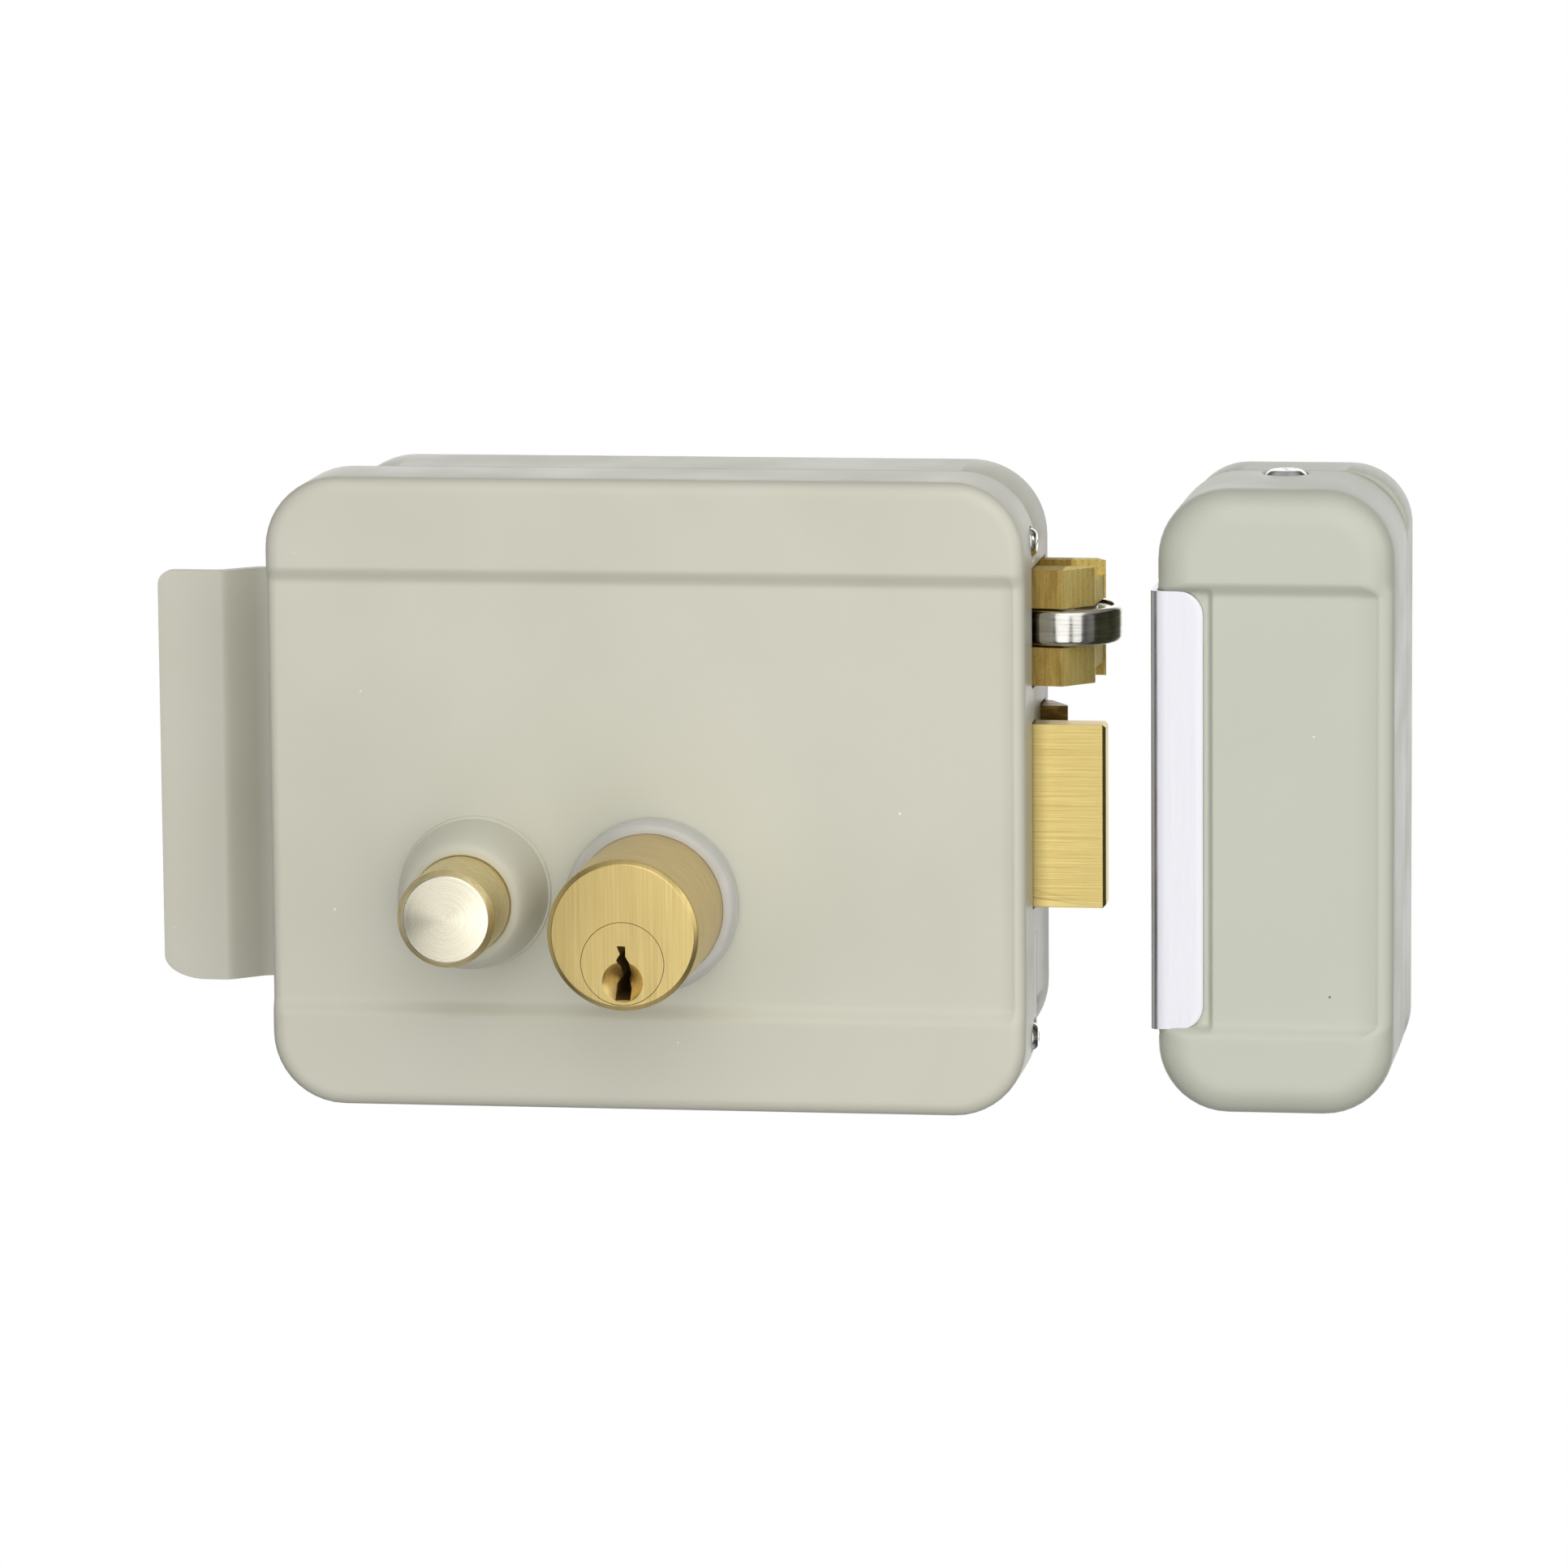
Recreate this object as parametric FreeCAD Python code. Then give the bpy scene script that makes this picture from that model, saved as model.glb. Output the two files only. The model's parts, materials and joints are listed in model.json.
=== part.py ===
import FreeCAD, Part
import math
import os
from FreeCAD import Vector

# Surface-mounted electric rim lock with its keeper, in millimetres.
# The door's face is the plane y = 0 and the lock stands out of it towards -Y. +X points to the keeper,
# +Z is up, and the origin is the centre of the four screws that hold the case to the door.
# Every piece that slides along X is drawn thrown; the push button is drawn out.

# ---------------------------------------------------------------- driving dimensions
# case: a pressed front cover over a smaller folded tray
CASE_W = 126.0
CASE_H = 105.0
CASE_D = 36.0
CASE_R = 12.0
SHEET = 1.2
SEAM_Y = -18.5
FRONT_FILLET = 2.2
BAND_H = 16.4
RECESS = 1.5
RECESS_RIGHT_X = 60.6
TRAY_SHEET = 1.5
TRAY_LEFT_X = -56.0
TRAY_BOTTOM_Z = -47.5
TRAY_R = 12.5
TONGUE_Y = -24.0
TONGUE_Z = (-24.0, 38.0)
WINDOW_GAP = 0.4
RUNNING_GAP = 0.05

# holes in the tray's floor
MOUNT_X = 46.0
MOUNT_Z = 40.0
MOUNT_HOLE_R = 2.75
CABLE_HOLE = (46.0, -30.0)
CABLE_HOLE_R = 4.0
TAILPIECE_HOLE_R = 6.0

# cover screws in the right wall and the tabs that take them
SIDE_SCREW_Y = -21.8
SIDE_SCREW_Z = 41.2
SIDE_SCREW_HEAD = (2.4, 1.6)
SIDE_SCREW_SHANK_R = 1.5
SIDE_DIMPLE_R = 2.7
SIDE_DIMPLE_DEPTH = 0.9
SIDE_CUP_SHEET = 1.6
DIMPLE_RIM = 1.2
BACK_BEND_R = 1.5
LUG_HALF = 3.6
LUG_SHEET = 2.0
LUG_Y = (-25.6, -12.0)

# finger pull on the left wall
PULL_SHEET = 2.0
PULL_X = -85.3
PULL_Z = (-35.2, 34.2)
PULL_PANEL_Y = -16.0
PULL_STRIP_Y = -11.0
PULL_JOG_X = (-74.0, -68.5)
PULL_JOG_LEAN = 0.8
PULL_FOOT_Y = -1.0
PULL_LOW_CORNER = (7.0, 4.0)
PULL_TOP_CORNER = 2.4
PULL_RIVET_Z = (-22.0, 0.0, 22.0)
PULL_RIVET_Y = -5.0
PULL_RIVET_R = 1.6
PULL_RIVET_HEAD = (2.6, 0.9)

# push button in its domed collar
BUTTON_X = -28.4
BUTTON_Z = -16.3
BUTTON_R = 8.05
BUTTON_FACE_Y = -62.2
BUTTON_BACK_Y = -40.0
BUTTON_BEVEL = 1.0
BUTTON_TRAVEL = 6.0
COLLAR_R = 12.7
COLLAR_RIM = 1.0
COLLAR_FACE_Y = -47.4
COLLAR_NECK_R = 9.9
COLLAR_NECK = 7.0
COLLAR_STEPS = 8
NUT_FLAT = 11.5
NUT_H = 3.0
STEM_R = 2.0
STEM_Y = (-46.0, -11.0)
CLIP_Y = (-26.2, -25.4)
CLIP_DEPTH = 0.5
BRIDGE_SHEET = 1.2
BUTTON_SPRING_R = 5.2
BUTTON_SPRING_Y = (-39.3, -28.7)

# key cylinder, its pins and its ring
CYLINDER_X = 1.3
CYLINDER_Z = -17.8
CYLINDER_R = 12.4
CYLINDER_FACE_Y = -66.0
CYLINDER_BACK_Y = -16.5
CYLINDER_CHAMFER = 0.7
RING_R = 14.4
RING_FACE_Y = -39.6
RING_SLOPE = ((0.0, 1.2), (0.5, 0.4), (1.0, 0.0))
PLUG_DROP = 4.6
PLUG_R = 6.75
PLUG_TAIL_R = 4.0
PLUG_CONE = (3.35, 0.6, 3.2)
PLUG_CONE_DROP = 3.0
KEYWAY_DEPTH = 30.0
PIN_COUNT = 5
PIN_START = 9.0
PIN_PITCH = 4.2
PIN_R = 1.35
KEY_PIN_DROP = (0.0, 0.6, 0.2, 0.8, 0.4)
DRIVER_PIN_H = 4.0
CLAMP_X = 8.0
CLAMP_RISE = 6.0
CLAMP_R = 1.5
BRACKET_SHEET = 1.5
BRACKET_HALF = 20.0
BRACKET_Z = (-13.0, -8.0, 10.0)
BRACKET_FOOT = 7.0

# pinion on the plug and rack on the deadbolt
GEAR_MODULE = 1.0
GEAR_TEETH = 14
GEAR_Y = (-13.5, -10.0)
RACK_X = (-6.5, 34.0)
RACK_TOP_Z = -7.5
RACK_TEETH = 9

# latch with its ball-bearing roller
LATCH_X = (38.0, 40.0)
LATCH_Z = 27.1
LATCH_H = 19.2
LATCH_TIP_X = 73.6
LATCH_TRAVEL = 12.0
LATCH_Y = (-23.0, -6.0)
LATCH_NOSE_X = 67.9
LATCH_SHANK_X = 57.5
CHEEK_WEB = 4.0
FRONT_CHEEK_LEAN = 1.4
FRONT_CHEEK_BACK_Y = -16.8
REAR_CHEEK_Y = -8.8
ROLLER_R = 9.5
ROLLER_W = 6.0
ROLLER_BORE_R = 3.0
ROLLER_X = 67.6
ROLLER_Y = -14.2
ROLLER_GAP = 6.5
RACE_R = (5.3, 7.4)
RACE_GROOVE_R = 1.62
BALL_CIRCLE = 6.3
BALL_R = 1.55
BALL_COUNT = 8
LATCH_TAIL_Z = (19.4, 26.6)
LATCH_TAIL_Y = (-23.0, -20.0)
LATCH_SPRING_Y = -12.5
LATCH_SPRING_Z = 24.0
LATCH_SPRING_X = (14.8, 43.4)
LATCH_SPRING_POCKET = (4.5, 44.0)

# slide that joins the button to the latch
PLATE_Y = (-4.5, -2.5)
PLATE_X = (-30.0, 52.0)
PLATE_ARM_Z = (22.0, 32.2)
PLATE_LEG_X = -14.0
RAMP_GAP = 0.3
RAMP_HALF = 3.0
GUIDES = ((-24.0, 27.1), (22.0, 27.1))
GUIDE_SLOT_R = 2.1
GUIDE_POST_R = 2.0
GUIDE_HEAD_R = 3.2
RELEASE_RIVETS = ((42.0, 27.1), (48.0, 27.1))
RELEASE_RIVET_R = 1.5

# deadbolt and trigger
DEADBOLT_X = (28.0, 75.0)
DEADBOLT_Y = (-23.0, -18.0)
DEADBOLT_Z = (-19.3, 11.2)
DEADBOLT_CHAMFER = 0.5
DEADBOLT_RIVETS = ((31.0, -9.0), (31.0, -13.0))
DEADBOLT_RIVET_R = 1.2
TRIGGER_X = (46.0, 67.5)
TRIGGER_Y = (-12.0, -5.5)
TRIGGER_Z = (2.7, 12.7)
TRIGGER_SLOPE_X = 64.2
TRIGGER_STOP = (4.0, 2.0)
TRIGGER_AXIS = (-8.75, 7.7)
TRIGGER_SPRING_X = (36.6, 55.6)

# solenoid with its plunger and the release lever
SOLENOID_Y = -21.0
SOLENOID_Z = 35.0
YOKE_X = (-34.0, 6.0)
YOKE_SHEET = 2.0
YOKE_HALF = 9.0
COIL_R = 10.5
BOBBIN_WALL = 0.9
BOBBIN_FLANGE = 1.5
PLUNGER_R = 4.5
PLUNGER_X = (-14.0, 16.0)
TONGUE_HALF_Z = 3.5
PLUNGER_TONGUE_Y = (-23.5, -21.5)
PLUNGER_SPRING_X = (6.6, 15.2)
LEVER_X = 22.0
LEVER_Z = 47.0
LEVER_Y = (-26.8, -24.8)
LEVER_HALF = 3.6
LEVER_BOSS_R = 3.9
LEVER_PIN_R = 2.5
PLUNGER_ARM = 12.0
LATCH_ARM = 24.0
SLOT_REACH = (1.4, 0.3)
PEG_R = 1.5
PEG_FRONT_Y = -28.0
LEAN = 0.25

# wiring
TERMINAL_X = (12.0, 34.0)
TERMINAL_Y = (-13.5, -1.5)
TERMINAL_Z = (-45.0, -36.0)
TERMINAL_SCREW_Z = -40.5
POLE_X = (17.5, 28.5)
LEAD_R = 0.8
LEAD_Y = (-28.6, -31.0)
LEAD_LEFT_X = -46.0
LEAD_LOW_Z = -33.0
LEAD_END_Y = -5.0
LEAD_BEND_R = (5.0, 2.5)

# keeper on the door frame
KEEPER_X = (85.3, 123.8)
KEEPER_Z = (-50.1, 52.5)
KEEPER_D = 43.0
KEEPER_R = 11.5
KEEPER_SHEET = 1.5
KEEPER_SEAM_Y = -13.0
KEEPER_BASE_INSET = 1.4
KEEPER_BAND_Z = 36.2
KEEPER_RECESS_RIGHT_X = 120.0
KEEPER_MOUTH_Z = 37.6
KEEPER_SILL = 4.0
KEEPER_SCREW = (104.2, -17.1)
KEEPER_SCREW_HEAD = (3.5, 1.5)
KEEPER_SCREW_SHANK_R = 2.0
KEEPER_DIMPLE_R = 3.7
KEEPER_DIMPLE_DEPTH = 0.9
KEEPER_TAB = (4.8, 22.0)
KEEPER_HOLE_X = 103.0
KEEPER_HOLE_Z = 30.0
STRIP_X = (84.3, 92.9)
STRIP_SHEET = 1.0
STRIP_LEG = 14.0
STRIP_BEVEL = 0.9
STRIP_CORNER_R = 4.0
STUD_X = 90.0
STUD_Z = (-24.0, 24.0)
STUD_R = 1.4
STUD_HEAD = (2.3, 0.8)

# values that follow from those above
CASE_X0 = -CASE_W / 2
CASE_X1 = CASE_W / 2
CASE_Z1 = CASE_H / 2
SIDE_SEAT_X = CASE_X1 - SIDE_DIMPLE_DEPTH
SIDE_CUP_X = SIDE_SEAT_X - SIDE_CUP_SHEET
FRONT_Y = -CASE_D
FLOOR_Y = -TRAY_SHEET
RECESS_Y = FRONT_Y + RECESS
INNER_FACE_Y = RECESS_Y + SHEET
BAND_Z = CASE_Z1 - BAND_H
PLUG_Z = CYLINDER_Z - PLUG_DROP
PLUG_BACK_Y = CYLINDER_BACK_Y + BRACKET_SHEET
GEAR_PITCH_R = GEAR_MODULE * GEAR_TEETH / 2
BOBBIN_X = (YOKE_X[0] + YOKE_SHEET, YOKE_X[1] - YOKE_SHEET)
BOBBIN_BORE_R = PLUNGER_R + 0.3
LEVER_GROOVE_Y = (LEVER_Y[0] - 1.1, LEVER_Y[0] - 0.3)

X_AXIS = Vector(1, 0, 0)
Y_AXIS = Vector(0, 1, 0)
Z_AXIS = Vector(0, 0, 1)


# ---------------------------------------------------------------- helpers
def box(x, y, z):
    """Block between the low and high values of each pair."""
    corner = Vector(min(x), min(y), min(z))
    return Part.makeBox(abs(x[1] - x[0]), abs(y[1] - y[0]), abs(z[1] - z[0]), corner)


def rod_x(radius, x, y, z):
    return Part.makeCylinder(radius, abs(x[1] - x[0]), Vector(min(x), y, z), X_AXIS)


def rod_y(radius, y, x, z):
    return Part.makeCylinder(radius, abs(y[1] - y[0]), Vector(x, min(y), z), Y_AXIS)


def rod_z(radius, z, x, y):
    return Part.makeCylinder(radius, abs(z[1] - z[0]), Vector(x, y, min(z)), Z_AXIS)


def tube_y(outer, inner, y, x, z):
    return rod_y(outer, y, x, z).cut(rod_y(inner, y, x, z))


def prism_z(points, z):
    """Outline in the XY plane, raised between two heights."""
    loop = [Vector(px, py, min(z)) for px, py in points]
    face = Part.Face(Part.makePolygon(loop + [loop[0]]))
    return face.extrude(Vector(0, 0, abs(z[1] - z[0])))


def prism_y(points, y):
    """Outline in the XZ plane, drawn from the front level to the back level."""
    loop = [Vector(px, min(y), pz) for px, pz in points]
    face = Part.Face(Part.makePolygon(loop + [loop[0]]))
    return face.extrude(Vector(0, abs(y[1] - y[0]), 0))


def rounded_block(x, y, z, radius):
    """Block whose four edges along Y are rounded."""
    block = box(x, y, z)
    edges = [e for e in block.Edges if abs(e.Length - abs(y[1] - y[0])) < 1e-6 and runs_along(e, Y_AXIS)]
    return block.makeFillet(radius, edges)


def runs_along(edge, direction):
    step = edge.Vertexes[-1].Point - edge.Vertexes[0].Point
    return step.Length > 0 and abs(abs(step.normalize().dot(direction)) - 1) < 1e-6


def edges_at_y(shape, y):
    return [e for e in shape.Edges if all(abs(v.Point.y - y) < 1e-6 for v in e.Vertexes)]


def revolve_y(profile, x, z):
    """Closed profile of (radius, y) points turned about the line along Y through x, z."""
    loop = [Vector(x + r, y, z) for r, y in profile]
    face = Part.Face(Part.makePolygon(loop + [loop[0]]))
    return face.revolve(Vector(x, 0, z), Y_AXIS, 360)


def join(shapes):
    whole = shapes[0].multiFuse(shapes[1:]) if len(shapes) > 1 else shapes[0]
    return whole.removeSplitter()


def group(shapes):
    return Part.makeCompound(shapes)


def helix_spring(radius, wire, turns, length, start, direction):
    """Round-wire compression spring along a direction."""
    path = Part.makeHelix(length / turns, length, radius)
    section = Part.Wire(Part.makeCircle(wire / 2, Vector(radius, 0, 0), Vector(0, 1, 0)))
    coil = Part.Wire(path).makePipeShell([section], True, True)
    turn = FreeCAD.Rotation(Z_AXIS, direction)
    coil.Placement = FreeCAD.Placement(start, turn)
    return coil


def cross_slot(depth, arm, width):
    """Cross recess on the axis +Z, open towards +Z at height 0."""
    bar = Part.makeBox(2 * arm, width, depth, Vector(-arm, -width / 2, -depth))
    other = Part.makeBox(width, 2 * arm, depth, Vector(-width / 2, -arm, -depth))
    return bar.fuse(other)


def pan_screw(head_r, head_h, shank_r, length):
    """Pan-head cross screw standing on +Z: seat at 0, shank below, head above."""
    head = Part.makeCylinder(head_r, head_h)
    head = head.makeFillet(head_h * 0.6, [e for e in head.Edges if e.Vertexes[0].Point.z > head_h - 1e-6
                                          and len(e.Vertexes) == 1])
    shank = Part.makeCylinder(shank_r, length, Vector(0, 0, -length))
    screw = head.fuse(shank).removeSplitter()
    slot = cross_slot(head_h * 0.6, head_r * 0.55, head_r * 0.22)
    slot.translate(Vector(0, 0, head_h))
    return screw.cut(slot)


def aimed(shape, point, direction):
    placed = shape.copy()
    placed.Placement = FreeCAD.Placement(point, FreeCAD.Rotation(Z_AXIS, direction))
    return placed


# ---------------------------------------------------------------- case
def front_cover():
    outer = rounded_block((CASE_X0, CASE_X1), (FRONT_Y, SEAM_Y), (-CASE_Z1, CASE_Z1), CASE_R)
    outer = outer.makeFillet(FRONT_FILLET, edges_at_y(outer, FRONT_Y))
    hollow = rounded_block((CASE_X0 + SHEET, CASE_X1 - SHEET), (INNER_FACE_Y, SEAM_Y),
                           (-CASE_Z1 + SHEET, CASE_Z1 - SHEET), CASE_R - SHEET)
    recess = box((CASE_X0, RECESS_RIGHT_X), (FRONT_Y - RECESS, RECESS_Y), (-BAND_Z, BAND_Z))
    wall = (CASE_X1 - 2 * SHEET, CASE_X1 + SHEET)
    cups = [rod_x(SIDE_DIMPLE_R + DIMPLE_RIM, (SIDE_CUP_X, CASE_X1), SIDE_SCREW_Y, side * SIDE_SCREW_Z).common(outer)
            for side in (-1, 1)]
    shell = join([outer.cut(hollow)] + cups).cut(recess).cut(box(wall, (TONGUE_Y, SEAM_Y), TONGUE_Z))
    shell = shell.cut(rod_y(COLLAR_NECK_R, (FRONT_Y, SEAM_Y), BUTTON_X, BUTTON_Z))
    shell = shell.cut(rod_y(CYLINDER_R, (FRONT_Y, SEAM_Y), CYLINDER_X, CYLINDER_Z))
    for z in (-SIDE_SCREW_Z, SIDE_SCREW_Z):
        shell = shell.cut(rod_x(SIDE_DIMPLE_R, (SIDE_SEAT_X, CASE_X1 + 1), SIDE_SCREW_Y, z))
        shell = shell.cut(rod_x(SIDE_SCREW_SHANK_R, (SIDE_CUP_X - 1, CASE_X1), SIDE_SCREW_Y, z))
    return shell


def side_lug(z):
    """Welded tab inside the tray's right wall that takes a cover screw."""
    x = (SIDE_CUP_X - LUG_SHEET, SIDE_CUP_X)
    span = (z - LUG_HALF, z + LUG_HALF)
    room = rounded_block((CASE_X0 + SHEET, CASE_X1 - SHEET), (INNER_FACE_Y, 0),
                         (-CASE_Z1 + SHEET, CASE_Z1 - SHEET), CASE_R - SHEET)
    tab = box(x, (LUG_Y[0], SEAM_Y), span).common(room)
    foot = box((x[0], CASE_X1 - TRAY_SHEET), (SEAM_Y, LUG_Y[1]), span).common(room)
    return tab.fuse(foot).cut(rod_x(SIDE_SCREW_SHANK_R, (x[0] - 1, x[1] + 1), SIDE_SCREW_Y, z))


def rear_tray():
    """Folded tray with its tongue, the bolts' windows and the holes in its floor."""
    x = (TRAY_LEFT_X, CASE_X1)
    z = (TRAY_BOTTOM_Z, CASE_Z1)
    outer = rounded_block(x, (SEAM_Y, 0), z, TRAY_R)
    outer = outer.makeFillet(BACK_BEND_R, edges_at_y(outer, 0))
    inner = rounded_block((x[0] + TRAY_SHEET, x[1] - TRAY_SHEET), (SEAM_Y, FLOOR_Y),
                          (z[0] + TRAY_SHEET, z[1] - TRAY_SHEET), TRAY_R - TRAY_SHEET)
    tongue = box((CASE_X1 - TRAY_SHEET, CASE_X1), (TONGUE_Y, SEAM_Y), TONGUE_Z)
    tray = join([outer.cut(inner), tongue, side_lug(SIDE_SCREW_Z), side_lug(-SIDE_SCREW_Z)])
    latch = (LATCH_Z - LATCH_H / 2, LATCH_Z + LATCH_H / 2)
    tray = tray.cut(window((TONGUE_Y, ROLLER_Y + ROLLER_R), latch))
    tray = tray.cut(window((TONGUE_Y, DEADBOLT_Y[1]), DEADBOLT_Z))
    tray = tray.cut(window(TRIGGER_Y, TRIGGER_Z))
    for hx in (-MOUNT_X, MOUNT_X):
        for hz in (-MOUNT_Z, MOUNT_Z):
            tray = tray.cut(floor_hole(MOUNT_HOLE_R, hx, hz))
    tray = tray.cut(floor_hole(CABLE_HOLE_R, *CABLE_HOLE))
    tray = tray.cut(floor_hole(TAILPIECE_HOLE_R, CYLINDER_X, PLUG_Z))
    return tray.cut(pull_rivet_holes((TRAY_LEFT_X - TRAY_SHEET, TRAY_LEFT_X + 2 * TRAY_SHEET)))


def window(y, z):
    """Opening in the tray's right wall with a gap all round the bolt that passes through it."""
    wall = (CASE_X1 - 2 * TRAY_SHEET, CASE_X1 + TRAY_SHEET)
    return box(wall, (y[0] - WINDOW_GAP, y[1] + WINDOW_GAP), (z[0] - WINDOW_GAP, z[1] + WINDOW_GAP))


def floor_hole(radius, x, z):
    return rod_y(radius, (2 * FLOOR_Y, -FLOOR_Y), x, z)


def pull_rivet_holes(x):
    return group([rod_x(PULL_RIVET_R, x, PULL_RIVET_Y, z) for z in PULL_RIVET_Z])


def finger_pull():
    """Pressed grip: front panel, slanted joggle, rear strip and a foot riveted to the tray's left wall."""
    foot_x = TRAY_LEFT_X - PULL_SHEET
    panel_back = PULL_PANEL_Y + PULL_SHEET
    strip_back = PULL_STRIP_Y + PULL_SHEET
    outline = [(PULL_X, PULL_PANEL_Y), (PULL_JOG_X[0], PULL_PANEL_Y), (PULL_JOG_X[1], PULL_STRIP_Y),
               (TRAY_LEFT_X, PULL_STRIP_Y), (TRAY_LEFT_X, PULL_FOOT_Y), (foot_x, PULL_FOOT_Y),
               (foot_x, strip_back), (PULL_JOG_X[1] - PULL_JOG_LEAN, strip_back),
               (PULL_JOG_X[0] - PULL_JOG_LEAN, panel_back), (PULL_X, panel_back)]
    plate = prism_z(outline, PULL_Z)
    low_x, low_z = PULL_LOW_CORNER
    low = prism_y([(PULL_X, PULL_Z[0]), (PULL_X + low_x, PULL_Z[0]), (PULL_X, PULL_Z[0] + low_z)],
                  (PULL_PANEL_Y, panel_back))
    top = prism_y([(PULL_X, PULL_Z[1]), (PULL_X + PULL_TOP_CORNER, PULL_Z[1]),
                   (PULL_X, PULL_Z[1] - PULL_TOP_CORNER)], (PULL_PANEL_Y, panel_back))
    return plate.cut(low).cut(top).cut(pull_rivet_holes((foot_x - 1, TRAY_LEFT_X + 1)))


def pull_rivets():
    head_r, head_h = PULL_RIVET_HEAD
    outer_x = TRAY_LEFT_X - PULL_SHEET
    inner_x = TRAY_LEFT_X + TRAY_SHEET
    rivets = []
    for z in PULL_RIVET_Z:
        shank = rod_x(PULL_RIVET_R, (outer_x, inner_x), PULL_RIVET_Y, z)
        outer_head = rod_x(head_r, (outer_x - head_h, outer_x), PULL_RIVET_Y, z)
        inner_head = rod_x(head_r, (inner_x, inner_x + head_h), PULL_RIVET_Y, z)
        rivets.append(join([shank, outer_head, inner_head]))
    return group(rivets)


def cover_screws():
    screw = pan_screw(*SIDE_SCREW_HEAD, SIDE_SCREW_SHANK_R, 6.0)
    return group([aimed(screw, Vector(SIDE_SEAT_X, SIDE_SCREW_Y, side * SIDE_SCREW_Z), X_AXIS)
                  for side in (-1, 1)])


# ---------------------------------------------------------------- push button
def button_collar():
    """Domed collar with a threaded neck through the cover."""
    bore = BUTTON_R + RUNNING_GAP
    rim = bore + COLLAR_RIM
    height = RECESS_Y - COLLAR_FACE_Y
    profile = [(bore, COLLAR_FACE_Y), (rim, COLLAR_FACE_Y)]
    for step in range(1, COLLAR_STEPS + 1):
        angle = math.pi / 2 * (1 - step / COLLAR_STEPS)
        profile.append((rim + (COLLAR_R - rim) * math.cos(angle), RECESS_Y - height * math.sin(angle)))
    neck_y = RECESS_Y + COLLAR_NECK
    profile += [(COLLAR_NECK_R, RECESS_Y), (COLLAR_NECK_R, neck_y), (bore, neck_y)]
    return revolve_y(profile, BUTTON_X, BUTTON_Z)


def collar_nut():
    """Hexagonal nut that clamps the collar from inside the cover."""
    y = (INNER_FACE_Y, INNER_FACE_Y + NUT_H)
    corner_r = NUT_FLAT / math.cos(math.pi / 6)
    corners = [(BUTTON_X + corner_r * math.cos(math.radians(60 * i)),
                BUTTON_Z + corner_r * math.sin(math.radians(60 * i))) for i in range(6)]
    return prism_y(corners, y).cut(rod_y(COLLAR_NECK_R, y, BUTTON_X, BUTTON_Z))


def push_button():
    """Turned button whose boss behind takes the stem."""
    boss_y = STEM_Y[0]
    profile = [(0, BUTTON_FACE_Y), (BUTTON_R - BUTTON_BEVEL, BUTTON_FACE_Y),
               (BUTTON_R, BUTTON_FACE_Y + BUTTON_BEVEL), (BUTTON_R, BUTTON_BACK_Y), (STEM_R, BUTTON_BACK_Y),
               (STEM_R, boss_y), (0, boss_y)]
    return revolve_y(profile, BUTTON_X, BUTTON_Z)


def button_stem():
    """Steel stem screwed into the button, with a groove for its clip."""
    stem = rod_y(STEM_R, STEM_Y, BUTTON_X, BUTTON_Z)
    return stem.cut(tube_y(STEM_R + 1, STEM_R - CLIP_DEPTH, CLIP_Y, BUTTON_X, BUTTON_Z))


def button_bridge():
    """Washer riveted into the collar's neck: it guides the stem and carries the spring."""
    y = (RECESS_Y + COLLAR_NECK, RECESS_Y + COLLAR_NECK + BRIDGE_SHEET)
    return tube_y(COLLAR_NECK_R, STEM_R + RUNNING_GAP, y, BUTTON_X, BUTTON_Z)


def snap_ring(outer, inner, y, x, z):
    """Open ring that snaps into a groove from above."""
    mouth = 0.6 * inner + 0.3
    return tube_y(outer, inner, y, x, z).cut(box((x - mouth, x + mouth), y, (z - outer, z)))


def button_clip():
    return snap_ring(4.2, STEM_R - CLIP_DEPTH, CLIP_Y, BUTTON_X, BUTTON_Z)


def button_spring():
    length = BUTTON_SPRING_Y[1] - BUTTON_SPRING_Y[0]
    return helix_spring(BUTTON_SPRING_R, 0.9, 3, length, Vector(BUTTON_X, BUTTON_SPRING_Y[0], BUTTON_Z), Y_AXIS)


# ---------------------------------------------------------------- key cylinder
def chamber_y(index):
    return CYLINDER_FACE_Y + PIN_START + index * PIN_PITCH


def clamp_holes(y):
    """The two screw holes that join the cylinder to its bracket."""
    z = CYLINDER_Z + CLAMP_RISE
    return group([rod_y(CLAMP_R, y, CYLINDER_X - CLAMP_X, z), rod_y(CLAMP_R, y, CYLINDER_X + CLAMP_X, z)])


def cylinder_body():
    body = rod_y(CYLINDER_R, (CYLINDER_FACE_Y, CYLINDER_BACK_Y), CYLINDER_X, CYLINDER_Z)
    body = body.makeChamfer(CYLINDER_CHAMFER, edges_at_y(body, CYLINDER_FACE_Y))
    body = body.cut(rod_y(PLUG_R + RUNNING_GAP, (CYLINDER_FACE_Y - 1, CYLINDER_BACK_Y + 1), CYLINDER_X, PLUG_Z))
    chamber_top = CYLINDER_Z + CYLINDER_R - 1.5
    for index in range(PIN_COUNT):
        body = body.cut(rod_z(PIN_R, (PLUG_Z, chamber_top), CYLINDER_X, chamber_y(index)))
    return body.cut(clamp_holes((CYLINDER_BACK_Y - 8, CYLINDER_BACK_Y)))


def cylinder_ring():
    """Ring round the cylinder's foot, slightly tapered towards the front."""
    slope = [(RING_R - inset, RING_FACE_Y + drop) for inset, drop in RING_SLOPE]
    profile = [(CYLINDER_R, RECESS_Y), (RING_R, RECESS_Y)] + slope + [(CYLINDER_R, RING_FACE_Y)]
    return revolve_y(profile, CYLINDER_X, CYLINDER_Z)


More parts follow.
